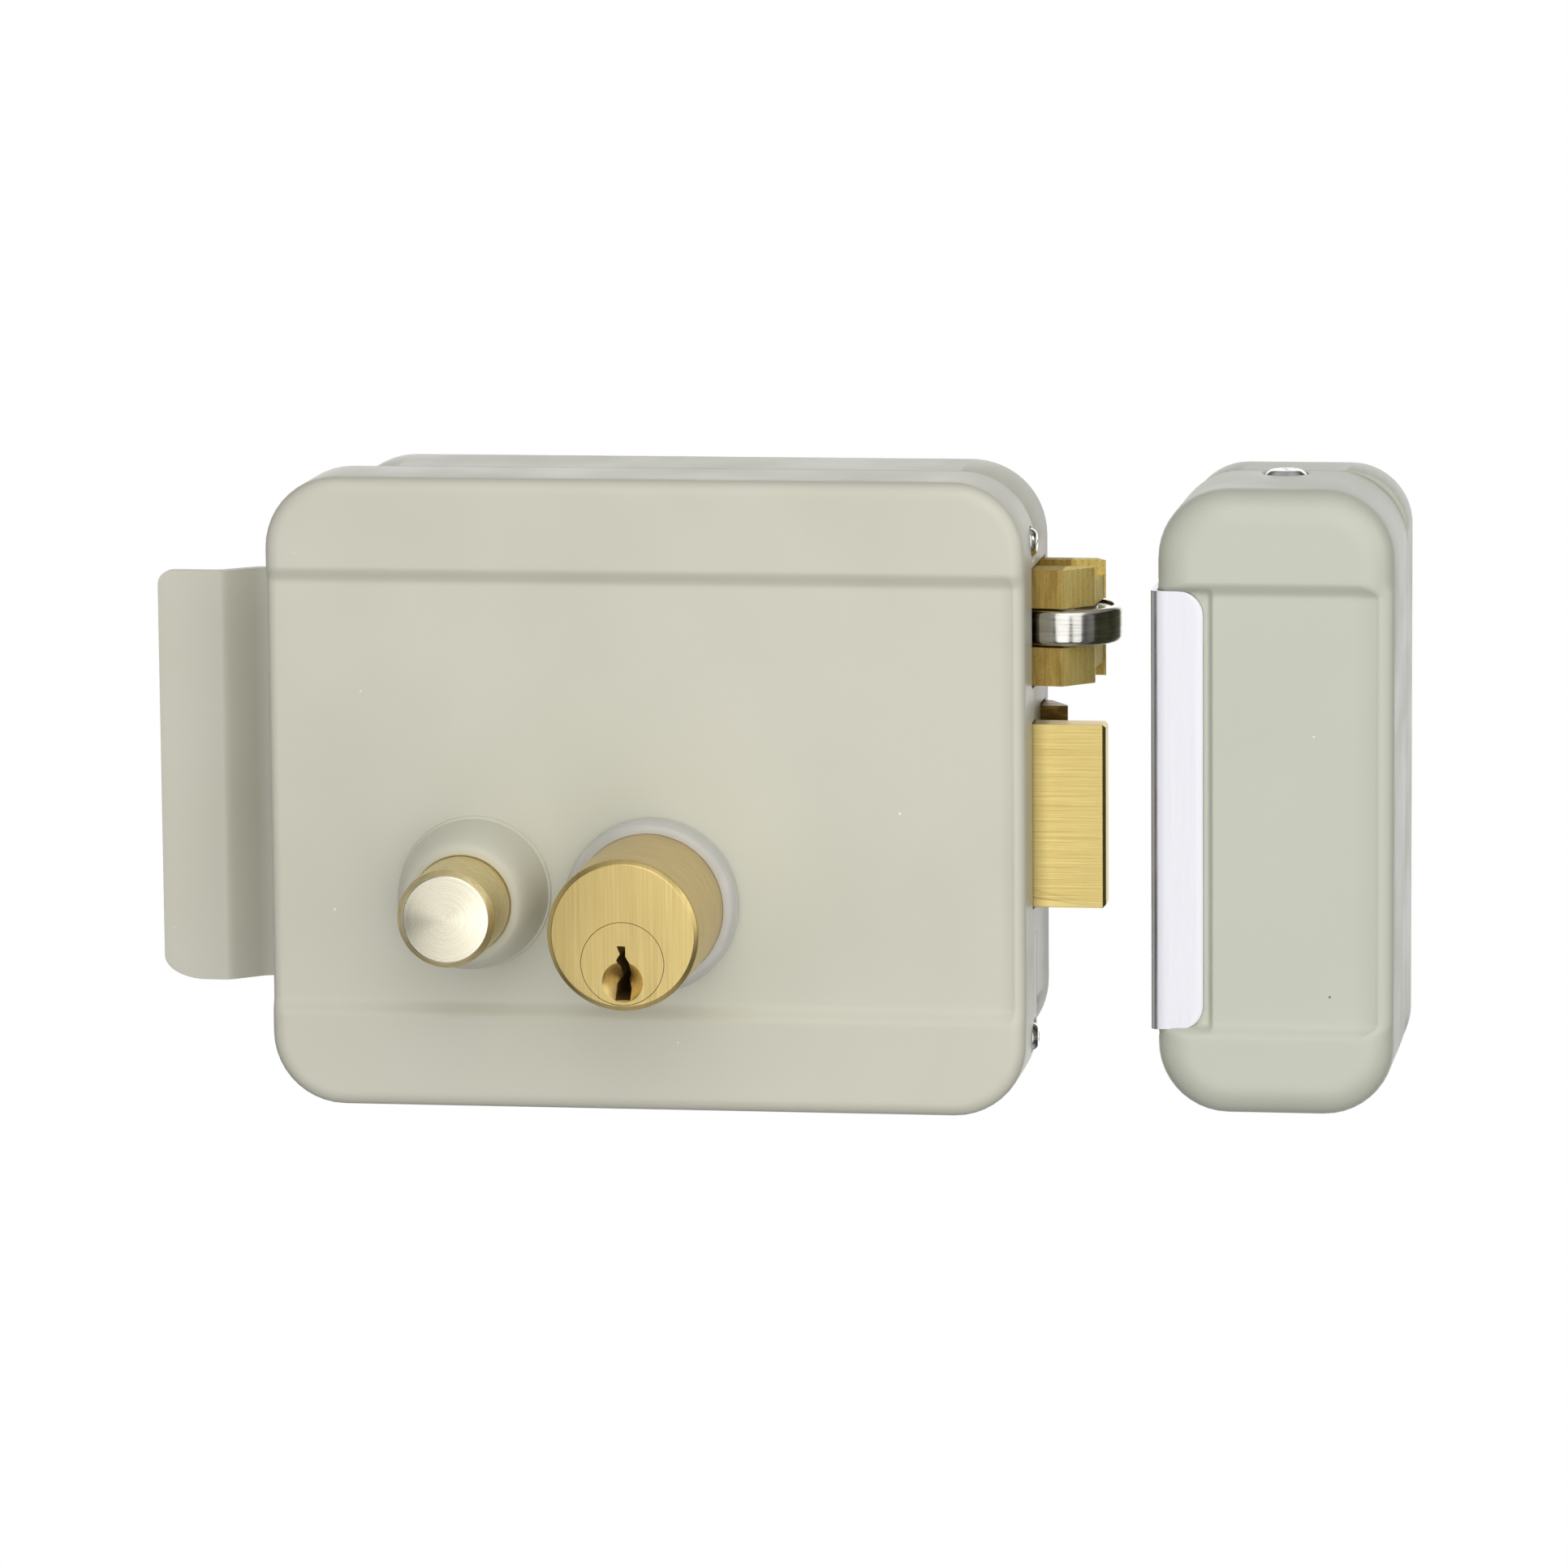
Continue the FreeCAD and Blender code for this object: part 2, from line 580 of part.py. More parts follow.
def cylinder_bracket():
    """Bridge that holds the cylinder from behind on two feet on the tray's floor."""
    plate_y = (CYLINDER_BACK_Y, PLUG_BACK_Y)
    foot_z, plate_z, top_z = (CYLINDER_Z + z for z in BRACKET_Z)
    pieces = [box((CYLINDER_X - BRACKET_HALF, CYLINDER_X + BRACKET_HALF), plate_y, (plate_z, top_z))]
    for side in (-1, 1):
        x = CYLINDER_X + side * BRACKET_HALF
        pieces.append(box((x, x - side * BRACKET_SHEET), (plate_y[0], FLOOR_Y), (foot_z, plate_z)))
        pieces.append(box((x, x - side * 12), plate_y, (foot_z, plate_z)))
        pieces.append(box((x, x + side * BRACKET_FOOT), (FLOOR_Y - BRACKET_SHEET, FLOOR_Y), (foot_z, plate_z)))
    cut_y = (plate_y[0] - 1, plate_y[1] + 1)
    rack_room = box((CYLINDER_X + 14, CYLINDER_X + BRACKET_HALF + 1), cut_y, (PLUG_Z + 5.5, top_z + 1))
    bracket = join(pieces).cut(rack_room).cut(rod_y(PLUG_R + 0.2, cut_y, CYLINDER_X, PLUG_Z))
    return bracket.cut(clamp_holes(cut_y))


def cylinder_screws():
    screw = pan_screw(2.6, 1.2, CLAMP_R, 8.5)
    return group([aimed(screw, Vector(CYLINDER_X + x, PLUG_BACK_Y, CYLINDER_Z + CLAMP_RISE), Y_AXIS)
                  for x in (-CLAMP_X, CLAMP_X)])


def keyway(y):
    """Stepped slot that stands for the warded keyway, from above the plug's centre to its lower edge."""
    outline = [(-0.9, 2.9), (0.5, 2.9), (0.5, 1.2), (1.1, 0.2), (1.1, -2.0), (0.6, -3.0), (1.2, -4.4),
               (1.2, -6.0), (-1.2, -6.0), (-1.2, -3.6), (-0.4, -2.4), (-0.4, -0.6), (-1.0, 0.6), (-0.4, 1.6)]
    return prism_y([(CYLINDER_X + px, PLUG_Z + pz) for px, pz in outline], y)


def cylinder_plug():
    """Turning plug with its keyway, lead-in cone, pin holes and the tail that carries the pinion."""
    plug = rod_y(PLUG_R, (CYLINDER_FACE_Y, PLUG_BACK_Y), CYLINDER_X, PLUG_Z)
    plug = join([plug, rod_y(PLUG_TAIL_R, (PLUG_BACK_Y, GEAR_Y[0]), CYLINDER_X, PLUG_Z)])
    cone_at = Vector(CYLINDER_X, CYLINDER_FACE_Y, PLUG_Z - PLUG_CONE_DROP)
    plug = plug.cut(Part.makeCone(*PLUG_CONE, cone_at, Y_AXIS))
    plug = plug.cut(keyway((CYLINDER_FACE_Y - 1, CYLINDER_FACE_Y + KEYWAY_DEPTH)))
    for index in range(PIN_COUNT):
        plug = plug.cut(rod_z(PIN_R, (PLUG_Z + 1.0, PLUG_Z + PLUG_R + 1), CYLINDER_X, chamber_y(index)))
    return plug.cut(rod_y(CLAMP_R, (PLUG_BACK_Y - 8, GEAR_Y[0]), CYLINDER_X, PLUG_Z))


def pin(low, high, index):
    return rod_z(PIN_R - RUNNING_GAP, (low, high), CYLINDER_X, chamber_y(index))


def key_pins():
    low = PLUG_Z + 1.4
    top = PLUG_Z + PLUG_R - 0.45
    return group([pin(low + drop, top, index) for index, drop in enumerate(KEY_PIN_DROP)])


def driver_pins():
    low = PLUG_Z + PLUG_R + 0.4
    return group([pin(low, low + DRIVER_PIN_H, index) for index in range(PIN_COUNT)])


def pin_springs():
    low = PLUG_Z + PLUG_R + 0.7 + DRIVER_PIN_H
    length = CYLINDER_Z + CYLINDER_R - 1.9 - low
    return group([helix_spring(0.9, 0.35, 4, length, Vector(CYLINDER_X, chamber_y(index), low), Z_AXIS)
                  for index in range(PIN_COUNT)])


def plug_gear():
    """Pinion on the plug's back end."""
    root = GEAR_PITCH_R - 1.2 * GEAR_MODULE
    tip = GEAR_PITCH_R + 0.9 * GEAR_MODULE
    step = 2 * math.pi / GEAR_TEETH
    widths = ((root, 0.36), (GEAR_PITCH_R, 0.225), (tip, 0.10))
    outline = []
    for tooth in range(GEAR_TEETH):
        middle = math.pi / 2 + tooth * step
        rising = [(r, middle - w * step) for r, w in widths]
        falling = [(r, middle + w * step) for r, w in reversed(widths)]
        outline += [(CYLINDER_X + r * math.cos(a), PLUG_Z + r * math.sin(a)) for r, a in rising + falling]
    return prism_y(outline, GEAR_Y).cut(rod_y(CLAMP_R, GEAR_Y, CYLINDER_X, PLUG_Z))


def plug_screw():
    screw = pan_screw(3.2, 1.5, CLAMP_R, 10.0)
    return aimed(screw, Vector(CYLINDER_X, GEAR_Y[1], PLUG_Z), Y_AXIS)


# ---------------------------------------------------------------- latch
def latch_bolt():
    """Brass block whose four cheeks hold the roller above and below."""
    back_x, neck_x = LATCH_X
    front_y, back_y = LATCH_Y
    half = LATCH_H / 2
    throat = ROLLER_GAP / 2
    front = [(neck_x, front_y + FRONT_CHEEK_LEAN), (LATCH_SHANK_X, front_y + FRONT_CHEEK_LEAN),
             (LATCH_NOSE_X, front_y), (LATCH_TIP_X - 0.9, front_y + 5.0),
             (LATCH_TIP_X - 0.9, FRONT_CHEEK_BACK_Y), (neck_x, FRONT_CHEEK_BACK_Y)]
    rear = [(neck_x, REAR_CHEEK_Y), (LATCH_TIP_X, REAR_CHEEK_Y), (LATCH_TIP_X - 1.8, back_y), (neck_x, back_y)]
    web = [(neck_x, FRONT_CHEEK_BACK_Y - 0.5), (LATCH_TIP_X - 0.95, FRONT_CHEEK_BACK_Y - 0.5),
           (LATCH_TIP_X - 0.3, REAR_CHEEK_Y + 0.5), (neck_x, REAR_CHEEK_Y + 0.5)]
    blocks = []
    for side in (-1, 1):
        z = (LATCH_Z + side * throat, LATCH_Z + side * half)
        web_z = (LATCH_Z + side * throat, LATCH_Z + side * (throat + CHEEK_WEB))
        blocks += [prism_z(front, z), prism_z(rear, z), prism_z(web, web_z)]
    shank = box((back_x, LATCH_SHANK_X), LATCH_Y, (LATCH_Z - half, LATCH_Z + half))
    foot = box((back_x + 1, back_x + 13), (back_y, PLATE_Y[0]), (LATCH_Z - 5, LATCH_Z + 5))
    bolt = join(blocks + [shank, foot]).cut(roller_pin())
    pocket_r, pocket_x = LATCH_SPRING_POCKET
    bolt = bolt.cut(rod_x(pocket_r, (back_x, pocket_x), LATCH_SPRING_Y, LATCH_SPRING_Z))
    bolt = bolt.cut(box((back_x - 1, pocket_x), LATCH_TAIL_Y, LATCH_TAIL_Z))
    for x, z in RELEASE_RIVETS:
        bolt = bolt.cut(rod_y(RELEASE_RIVET_R, (back_y - 2, back_y + 2), x, z))
    return bolt


def roller_pin():
    reach = ROLLER_GAP / 2 + CHEEK_WEB
    return rod_z(ROLLER_BORE_R, (LATCH_Z - reach, LATCH_Z + reach), ROLLER_X, ROLLER_Y)


def roller_ring(inner, outer, rim_r):
    """Bearing ring with one pair of rounded rims and a groove for the balls."""
    z = (LATCH_Z - ROLLER_W / 2, LATCH_Z + ROLLER_W / 2)
    ring = rod_z(outer, z, ROLLER_X, ROLLER_Y).cut(rod_z(inner, z, ROLLER_X, ROLLER_Y))
    rims = [e for e in ring.Edges if abs(e.Length - 2 * math.pi * rim_r) < 1e-3]
    groove = Part.makeTorus(BALL_CIRCLE, RACE_GROOVE_R, Vector(ROLLER_X, ROLLER_Y, LATCH_Z), Z_AXIS)
    return ring.makeFillet(0.4, rims).cut(groove)


def roller_inner_ring():
    return roller_ring(ROLLER_BORE_R, RACE_R[0], ROLLER_BORE_R)


def roller_outer_ring():
    return roller_ring(RACE_R[1], ROLLER_R, ROLLER_R)


def roller_balls():
    balls = []
    for index in range(BALL_COUNT):
        angle = 2 * math.pi * index / BALL_COUNT
        x = ROLLER_X + BALL_CIRCLE * math.cos(angle)
        y = ROLLER_Y + BALL_CIRCLE * math.sin(angle)
        balls.append(Part.makeSphere(BALL_R, Vector(x, y, LATCH_Z)))
    return group(balls)


def peg_x(arm):
    """Rest position of a peg that hangs at an arm's length below the lever's pivot."""
    return LEVER_X + arm * LEAN


def latch_tail():
    """Steel strip that joins the latch to the release lever."""
    strip = box((LEVER_X + 2.0, LATCH_SPRING_POCKET[1]), LATCH_TAIL_Y, LATCH_TAIL_Z)
    return strip.cut(latch_peg())


def latch_peg():
    return rod_y(PEG_R, (PEG_FRONT_Y, LATCH_TAIL_Y[1]), peg_x(LATCH_ARM), LEVER_Z - LATCH_ARM)


def latch_spring():
    start = Vector(LATCH_SPRING_X[0], LATCH_SPRING_Y, LATCH_SPRING_Z)
    return helix_spring(3.2, 1.0, 8, LATCH_SPRING_X[1] - LATCH_SPRING_X[0], start, X_AXIS)


def spring_bracket():
    """Upright with a rod that guides the latch spring."""
    x = (12.5, 14.2)
    side_z = (34.5, 39.5)
    upright = box(x, (-16.5, -5.0), (19.5, 28.0))
    bridge = box(x, (-12.0, -5.0), (28.0, side_z[1]))
    leg = box(x, (-12.0, FLOOR_Y), side_z)
    foot = box((x[1], 20.0), (FLOOR_Y - TRAY_SHEET, FLOOR_Y), side_z)
    rod = rod_x(2.0, (x[1], 24.0), LATCH_SPRING_Y, LATCH_SPRING_Z)
    return join([upright, bridge, leg, foot, rod])


def release_plate():
    """L-shaped slide behind the mechanism; the button's stem pushes its ramp and draws the latch back."""
    across = box(PLATE_X, PLATE_Y, PLATE_ARM_Z)
    down = box((PLATE_X[0], PLATE_LEG_X), PLATE_Y, (BUTTON_Z - 4.0, PLATE_ARM_Z[1]))
    low_x = BUTTON_X - STEM_R - 1.0
    high_x = low_x + 1.0 + LATCH_TRAVEL
    start_y = STEM_Y[1] + RAMP_GAP
    end_y = start_y + BUTTON_TRAVEL
    outline = [(low_x, start_y - 0.5), (high_x, end_y), (high_x + 2.0, end_y), (high_x + 2.0, PLATE_Y[0]),
               (low_x, PLATE_Y[0])]
    plate = join([across, down, prism_z(outline, (BUTTON_Z - RAMP_HALF, BUTTON_Z + RAMP_HALF))])
    cut_y = (PLATE_Y[0] - 1, PLATE_Y[1] + 1)
    for x, z in GUIDES:
        ends = rod_y(GUIDE_SLOT_R, cut_y, x, z).fuse(rod_y(GUIDE_SLOT_R, cut_y, x + LATCH_TRAVEL, z))
        middle = box((x, x + LATCH_TRAVEL), cut_y, (z - GUIDE_SLOT_R, z + GUIDE_SLOT_R))
        plate = plate.cut(middle).cut(ends)
    for x, z in RELEASE_RIVETS:
        plate = plate.cut(rod_y(RELEASE_RIVET_R, cut_y, x, z))
    return plate


def release_rivets():
    rivets = []
    for x, z in RELEASE_RIVETS:
        shank = rod_y(RELEASE_RIVET_R, (LATCH_Y[1] - 2, PLATE_Y[1]), x, z)
        rivets.append(shank.fuse(rod_y(2.4, (PLATE_Y[1], PLATE_Y[1] + 0.7), x, z)))
    return group(rivets)


def guide_posts():
    """Shouldered rivets in the tray's floor that guide the release plate."""
    head_y = (PLATE_Y[0] - 1.2, PLATE_Y[0] - 0.2)
    return group([join([rod_y(GUIDE_POST_R, (head_y[1], FLOOR_Y), x, z), rod_y(GUIDE_HEAD_R, head_y, x, z)])
                  for x, z in GUIDES])


# ---------------------------------------------------------------- deadbolt and trigger
def deadbolt():
    bolt = box(DEADBOLT_X, DEADBOLT_Y, DEADBOLT_Z)
    tip = [e for e in bolt.Edges if all(v.Point.x > DEADBOLT_X[1] - 1 for v in e.Vertexes)]
    bolt = bolt.makeChamfer(DEADBOLT_CHAMFER, tip)
    for x, z in DEADBOLT_RIVETS:
        bolt = bolt.cut(rod_y(DEADBOLT_RIVET_R, DEADBOLT_Y, x, z))
    return bolt


def deadbolt_tail():
    """Rack that the pinion drives, with a riser up to the bolt."""
    pitch = math.pi * GEAR_MODULE
    line = PLUG_Z + GEAR_PITCH_R
    crest = line - 0.85 * GEAR_MODULE
    valley = line + 1.1 * GEAR_MODULE
    tail = [box(RACK_X, GEAR_Y, (valley, RACK_TOP_Z)),
            box((DEADBOLT_X[0], RACK_X[1]), (DEADBOLT_Y[1], GEAR_Y[1]), (valley, RACK_TOP_Z))]
    for index in range(RACK_TEETH):
        middle = CYLINDER_X + (index - 1.5) * pitch
        low_x, high_x = (middle - 1.06, middle + 1.06), (middle - 0.36, middle + 0.36)
        tooth = [(low_x[0], valley), (high_x[0], crest), (high_x[1], crest), (low_x[1], valley)]
        tail.append(prism_y(tooth, GEAR_Y))
    tail = join(tail)
    for x, z in DEADBOLT_RIVETS:
        tail = tail.cut(rod_y(DEADBOLT_RIVET_R, (DEADBOLT_Y[1], GEAR_Y[1]), x, z))
    return tail


def deadbolt_rivets():
    return group([rod_y(DEADBOLT_RIVET_R, (DEADBOLT_Y[0], GEAR_Y[1]), x, z) for x, z in DEADBOLT_RIVETS])


def trigger_bolt():
    """Sprung trigger with a bevelled back and a stop flange inside the case."""
    back_x, tip_x = TRIGGER_X
    outline = [(back_x, TRIGGER_Y[0]), (tip_x, TRIGGER_Y[0]), (tip_x, TRIGGER_Y[0] + 0.8),
               (TRIGGER_SLOPE_X, TRIGGER_Y[1]), (back_x, TRIGGER_Y[1])]
    stop_x, stop_z = TRIGGER_STOP
    stop = box((back_x, back_x + stop_x), TRIGGER_Y, (TRIGGER_Z[0] - stop_z, TRIGGER_Z[1] + stop_z))
    return join([prism_z(outline, TRIGGER_Z), stop]).cut(rod_x(2.6, (back_x - 1, back_x + 10), *TRIGGER_AXIS))


def trigger_spring():
    length = TRIGGER_SPRING_X[1] - TRIGGER_SPRING_X[0]
    return helix_spring(1.9, 0.6, 10, length, Vector(TRIGGER_SPRING_X[0], *TRIGGER_AXIS), X_AXIS)


def trigger_guide():
    """Stand with the rod that the trigger's spring slides on."""
    y, z = TRIGGER_AXIS
    span = (z - 3.7, z + 3.7)
    upright = box((34.0, 36.0), (-11.5, FLOOR_Y), span)
    foot = box((28.0, 34.0), (FLOOR_Y - TRAY_SHEET, FLOOR_Y), span)
    return join([upright, foot, rod_x(1.2, (36.0, 44.0), y, z)])


# ---------------------------------------------------------------- solenoid and lever
def solenoid_yoke():
    """Open steel frame round the coil, on two legs to the tray's floor."""
    reach = COIL_R + YOKE_SHEET + 0.2
    low, top = SOLENOID_Z - reach, SOLENOID_Z + reach
    y = (SOLENOID_Y - YOKE_HALF, SOLENOID_Y + YOKE_HALF)
    beam_z = (top - YOKE_SHEET, top)
    nose = box((BOBBIN_X[1], YOKE_X[1]), y, (low, top))
    nose = nose.cut(rod_x(PLUNGER_R + 0.4, (BOBBIN_X[1] - 1, YOKE_X[1] + 1), SOLENOID_Y, SOLENOID_Z))
    pieces = [box(YOKE_X, y, beam_z), box(YOKE_X, y, (low, low + YOKE_SHEET)),
              box((YOKE_X[0], BOBBIN_X[0]), y, (low, top)), nose]
    for x in (YOKE_X[0] + 3.0, YOKE_X[1] - 11.0):
        pieces.append(box((x, x + 8.0), (y[1], FLOOR_Y), beam_z))
        pieces.append(box((x, x + 8.0), (FLOOR_Y - TRAY_SHEET, FLOOR_Y), (top - 7.0, top)))
    return join(pieces)


def coil_bobbin():
    pieces = [rod_x(BOBBIN_BORE_R + BOBBIN_WALL, BOBBIN_X, SOLENOID_Y, SOLENOID_Z)]
    for x in (BOBBIN_X[0], BOBBIN_X[1] - BOBBIN_FLANGE):
        pieces.append(rod_x(COIL_R, (x, x + BOBBIN_FLANGE), SOLENOID_Y, SOLENOID_Z))
    return join(pieces).cut(rod_x(BOBBIN_BORE_R, BOBBIN_X, SOLENOID_Y, SOLENOID_Z))


def coil_winding():
    x = (BOBBIN_X[0] + BOBBIN_FLANGE, BOBBIN_X[1] - BOBBIN_FLANGE)
    outer = rod_x(COIL_R - 0.8, x, SOLENOID_Y, SOLENOID_Z)
    return outer.cut(rod_x(BOBBIN_BORE_R + BOBBIN_WALL, x, SOLENOID_Y, SOLENOID_Z))


def plunger():
    """Soft-iron plunger with a flat tongue for its peg."""
    core = rod_x(PLUNGER_R, PLUNGER_X, SOLENOID_Y, SOLENOID_Z)
    return join([core, plunger_tongue(PLUNGER_X[1])]).cut(plunger_peg())


def plunger_tongue(start_x):
    return box((start_x, peg_x(PLUNGER_ARM) + 3.0), PLUNGER_TONGUE_Y,
               (SOLENOID_Z - TONGUE_HALF_Z, SOLENOID_Z + TONGUE_HALF_Z))


def plunger_peg():
    return rod_y(PEG_R, (PEG_FRONT_Y, PLUNGER_TONGUE_Y[1]), peg_x(PLUNGER_ARM), SOLENOID_Z)


def plunger_spring():
    start = Vector(PLUNGER_SPRING_X[0], SOLENOID_Y, SOLENOID_Z)
    return helix_spring(5.6, 0.8, 5, PLUNGER_SPRING_X[1] - PLUNGER_SPRING_X[0], start, X_AXIS)


def plunger_collar():
    """Snap ring on the plunger that takes the return spring's thrust."""
    ring = rod_x(6.6, (PLUNGER_X[1], PLUNGER_X[1] + 1.0), SOLENOID_Y, SOLENOID_Z)
    return ring.cut(plunger_tongue(PLUNGER_X[1] - 1))


def release_lever():
    """Hanging lever: the plunger pulls it half way down and its lower end draws the latch back."""
    bar = box((-LEVER_HALF, LEVER_HALF), LEVER_Y, (-LATCH_ARM - 6.0, 0))
    bar = bar.fuse(rod_y(LEVER_BOSS_R, LEVER_Y, 0, 0))
    slot_r = PEG_R + 0.15
    cut_y = (LEVER_Y[0] - 1, LEVER_Y[1] + 1)
    for arm in (PLUNGER_ARM, LATCH_ARM):
        low, high = -arm - SLOT_REACH[0], -arm + SLOT_REACH[1]
        bar = bar.cut(box((-slot_r, slot_r), cut_y, (low, high)))
        bar = bar.cut(rod_y(slot_r, cut_y, 0, low).fuse(rod_y(slot_r, cut_y, 0, high)))
    bar = bar.removeSplitter().cut(rod_y(LEVER_PIN_R + RUNNING_GAP, cut_y, 0, 0))
    bar.rotate(Vector(0, 0, 0), Y_AXIS, -math.degrees(math.atan(LEAN)))
    bar.translate(Vector(LEVER_X, 0, LEVER_Z))
    return bar


def above_lever(limit_z):
    """Room above a height over the lever's pivot, where the case's top wall is."""
    return box((LEVER_X - 10, LEVER_X + 10), (FRONT_Y, 0), (limit_z, limit_z + 10))


def lever_post():
    """Pivot pillar standing on the tray's floor."""
    shoulder_y = LEVER_Y[1] + 0.2
    base = rod_y(3.6, (shoulder_y, FLOOR_Y), LEVER_X, LEVER_Z)
    stud = rod_y(LEVER_PIN_R, (LEVER_Y[0] - 1.6, shoulder_y), LEVER_X, LEVER_Z)
    groove = tube_y(LEVER_PIN_R + 1, LEVER_PIN_R - CLIP_DEPTH, LEVER_GROOVE_Y, LEVER_X, LEVER_Z)
    return join([base, stud]).cut(groove).cut(above_lever(CASE_Z1 - TRAY_SHEET))


def lever_clip():
    ring = snap_ring(4.2, LEVER_PIN_R - CLIP_DEPTH, LEVER_GROOVE_Y, LEVER_X, LEVER_Z)
    return ring.cut(above_lever(CASE_Z1 - 2 * TRAY_SHEET))


# ---------------------------------------------------------------- wiring
def terminal_block():
    block = box(TERMINAL_X, TERMINAL_Y, TERMINAL_Z)
    front = TERMINAL_Y[0]
    for x in POLE_X:
        block = block.cut(rod_y(2.0, (front, front + 2.0), x, TERMINAL_SCREW_Z))
        block = block.cut(rod_y(1.2, (front, front + 6.0), x, TERMINAL_SCREW_Z))
        block = block.cut(rod_z(LEAD_R, (TERMINAL_Z[1] - 3.0, TERMINAL_Z[1]), x, LEAD_END_Y))
    return block


def terminal_screws():
    screw = pan_screw(1.95, 1.0, 1.2, 4.0)
    return group([aimed(screw, Vector(x, TERMINAL_Y[0] + 2.0, TERMINAL_SCREW_Z), -Y_AXIS) for x in POLE_X])


def bend(corner, before, after, radius):
    """Quarter arc that rounds a right-angled corner of a wire's route."""
    start = corner - before * radius
    end = corner + after * radius
    middle = corner + (after - before) * (radius * (1 - math.sqrt(0.5)))
    return start, Part.Arc(start, middle, end), end


def lead(y, pole_x):
    """One insulated wire from the coil round the key cylinder into a terminal."""
    top_z = SOLENOID_Z - 4.0
    wide, tight = LEAD_BEND_R
    route = [(Vector(LEAD_LEFT_X, y, top_z), -X_AXIS, -Z_AXIS, wide),
             (Vector(LEAD_LEFT_X, y, LEAD_LOW_Z), -Z_AXIS, X_AXIS, wide),
             (Vector(pole_x, y, LEAD_LOW_Z), X_AXIS, Y_AXIS, wide),
             (Vector(pole_x, LEAD_END_Y, LEAD_LOW_Z), Y_AXIS, -Z_AXIS, tight)]
    start = Vector(YOKE_X[0], y, top_z)
    pieces = []
    here = start
    for corner, before, after, radius in route:
        first, arc, last = bend(corner, before, after, radius)
        pieces += [Part.LineSegment(here, first), arc]
        here = last
    pieces.append(Part.LineSegment(here, Vector(pole_x, LEAD_END_Y, TERMINAL_Z[1] - 2.5)))
    wire = Part.Wire([piece.toShape() for piece in pieces])
    section = Part.Wire(Part.makeCircle(LEAD_R, start, X_AXIS))
    return wire.makePipeShell([section], True, False)


def coil_leads():
    return group([lead(y, x) for y, x in zip(LEAD_Y, POLE_X)])


# ---------------------------------------------------------------- keeper
def keeper_cover():
    """Front shell of the keeper, open towards the lock between the two bands."""
    x0, x1 = KEEPER_X
    z0, z1 = KEEPER_Z
    recess_y = -KEEPER_D + RECESS
    step_y = recess_y + STRIP_SHEET
    outer = rounded_block(KEEPER_X, (-KEEPER_D, KEEPER_SEAM_Y), KEEPER_Z, KEEPER_R)
    outer = outer.makeFillet(FRONT_FILLET, edges_at_y(outer, -KEEPER_D))
    hollow = rounded_block((x0 + KEEPER_SHEET, x1 - KEEPER_SHEET), (recess_y + KEEPER_SHEET, KEEPER_SEAM_Y),
                           (z0 + KEEPER_SHEET, z1 - KEEPER_SHEET), KEEPER_R - KEEPER_SHEET)
    pad_z = (-KEEPER_MOUTH_Z - 1, KEEPER_MOUTH_Z + 1)
    pad = box((x0, STRIP_X[1] + 3.0), (step_y, step_y + KEEPER_SHEET), pad_z)
    band = (-KEEPER_BAND_Z, KEEPER_BAND_Z)
    recess = box((x0, KEEPER_RECESS_RIGHT_X), (-KEEPER_D - 1, recess_y), band)
    step = box((x0, STRIP_X[1] + 1.6), (-KEEPER_D - 1, step_y), band)
    mouth = box((x0 - 1, x0 + 2 * KEEPER_SHEET), (step_y + KEEPER_SHEET, KEEPER_SEAM_Y),
                (-KEEPER_MOUTH_Z, KEEPER_MOUTH_Z))
    screw_x, screw_y = KEEPER_SCREW
    dimples = [(z0, 1), (z1, -1)]
    cups = [rod_z(KEEPER_DIMPLE_R + DIMPLE_RIM, (z, z + inward * (KEEPER_DIMPLE_DEPTH + SHEET)), screw_x, screw_y)
            for z, inward in dimples]
    cups = [cup.common(box(KEEPER_X, (-KEEPER_D, KEEPER_SEAM_Y), KEEPER_Z)) for cup in cups]
    shell = join([outer.cut(hollow), pad] + cups).cut(recess).cut(step).cut(mouth)
    for z, inward in dimples:
        seat_z = z + inward * KEEPER_DIMPLE_DEPTH
        shell = shell.cut(rod_z(KEEPER_DIMPLE_R, (z - inward, seat_z), screw_x, screw_y))
        shell = shell.cut(rod_z(KEEPER_SCREW_SHANK_R, (z, seat_z + inward * 2), screw_x, screw_y))
    for z in STUD_Z:
        shell = shell.cut(rod_y(STUD_R, (-KEEPER_D, step_y + 2 * KEEPER_SHEET), STUD_X, z))
    return shell


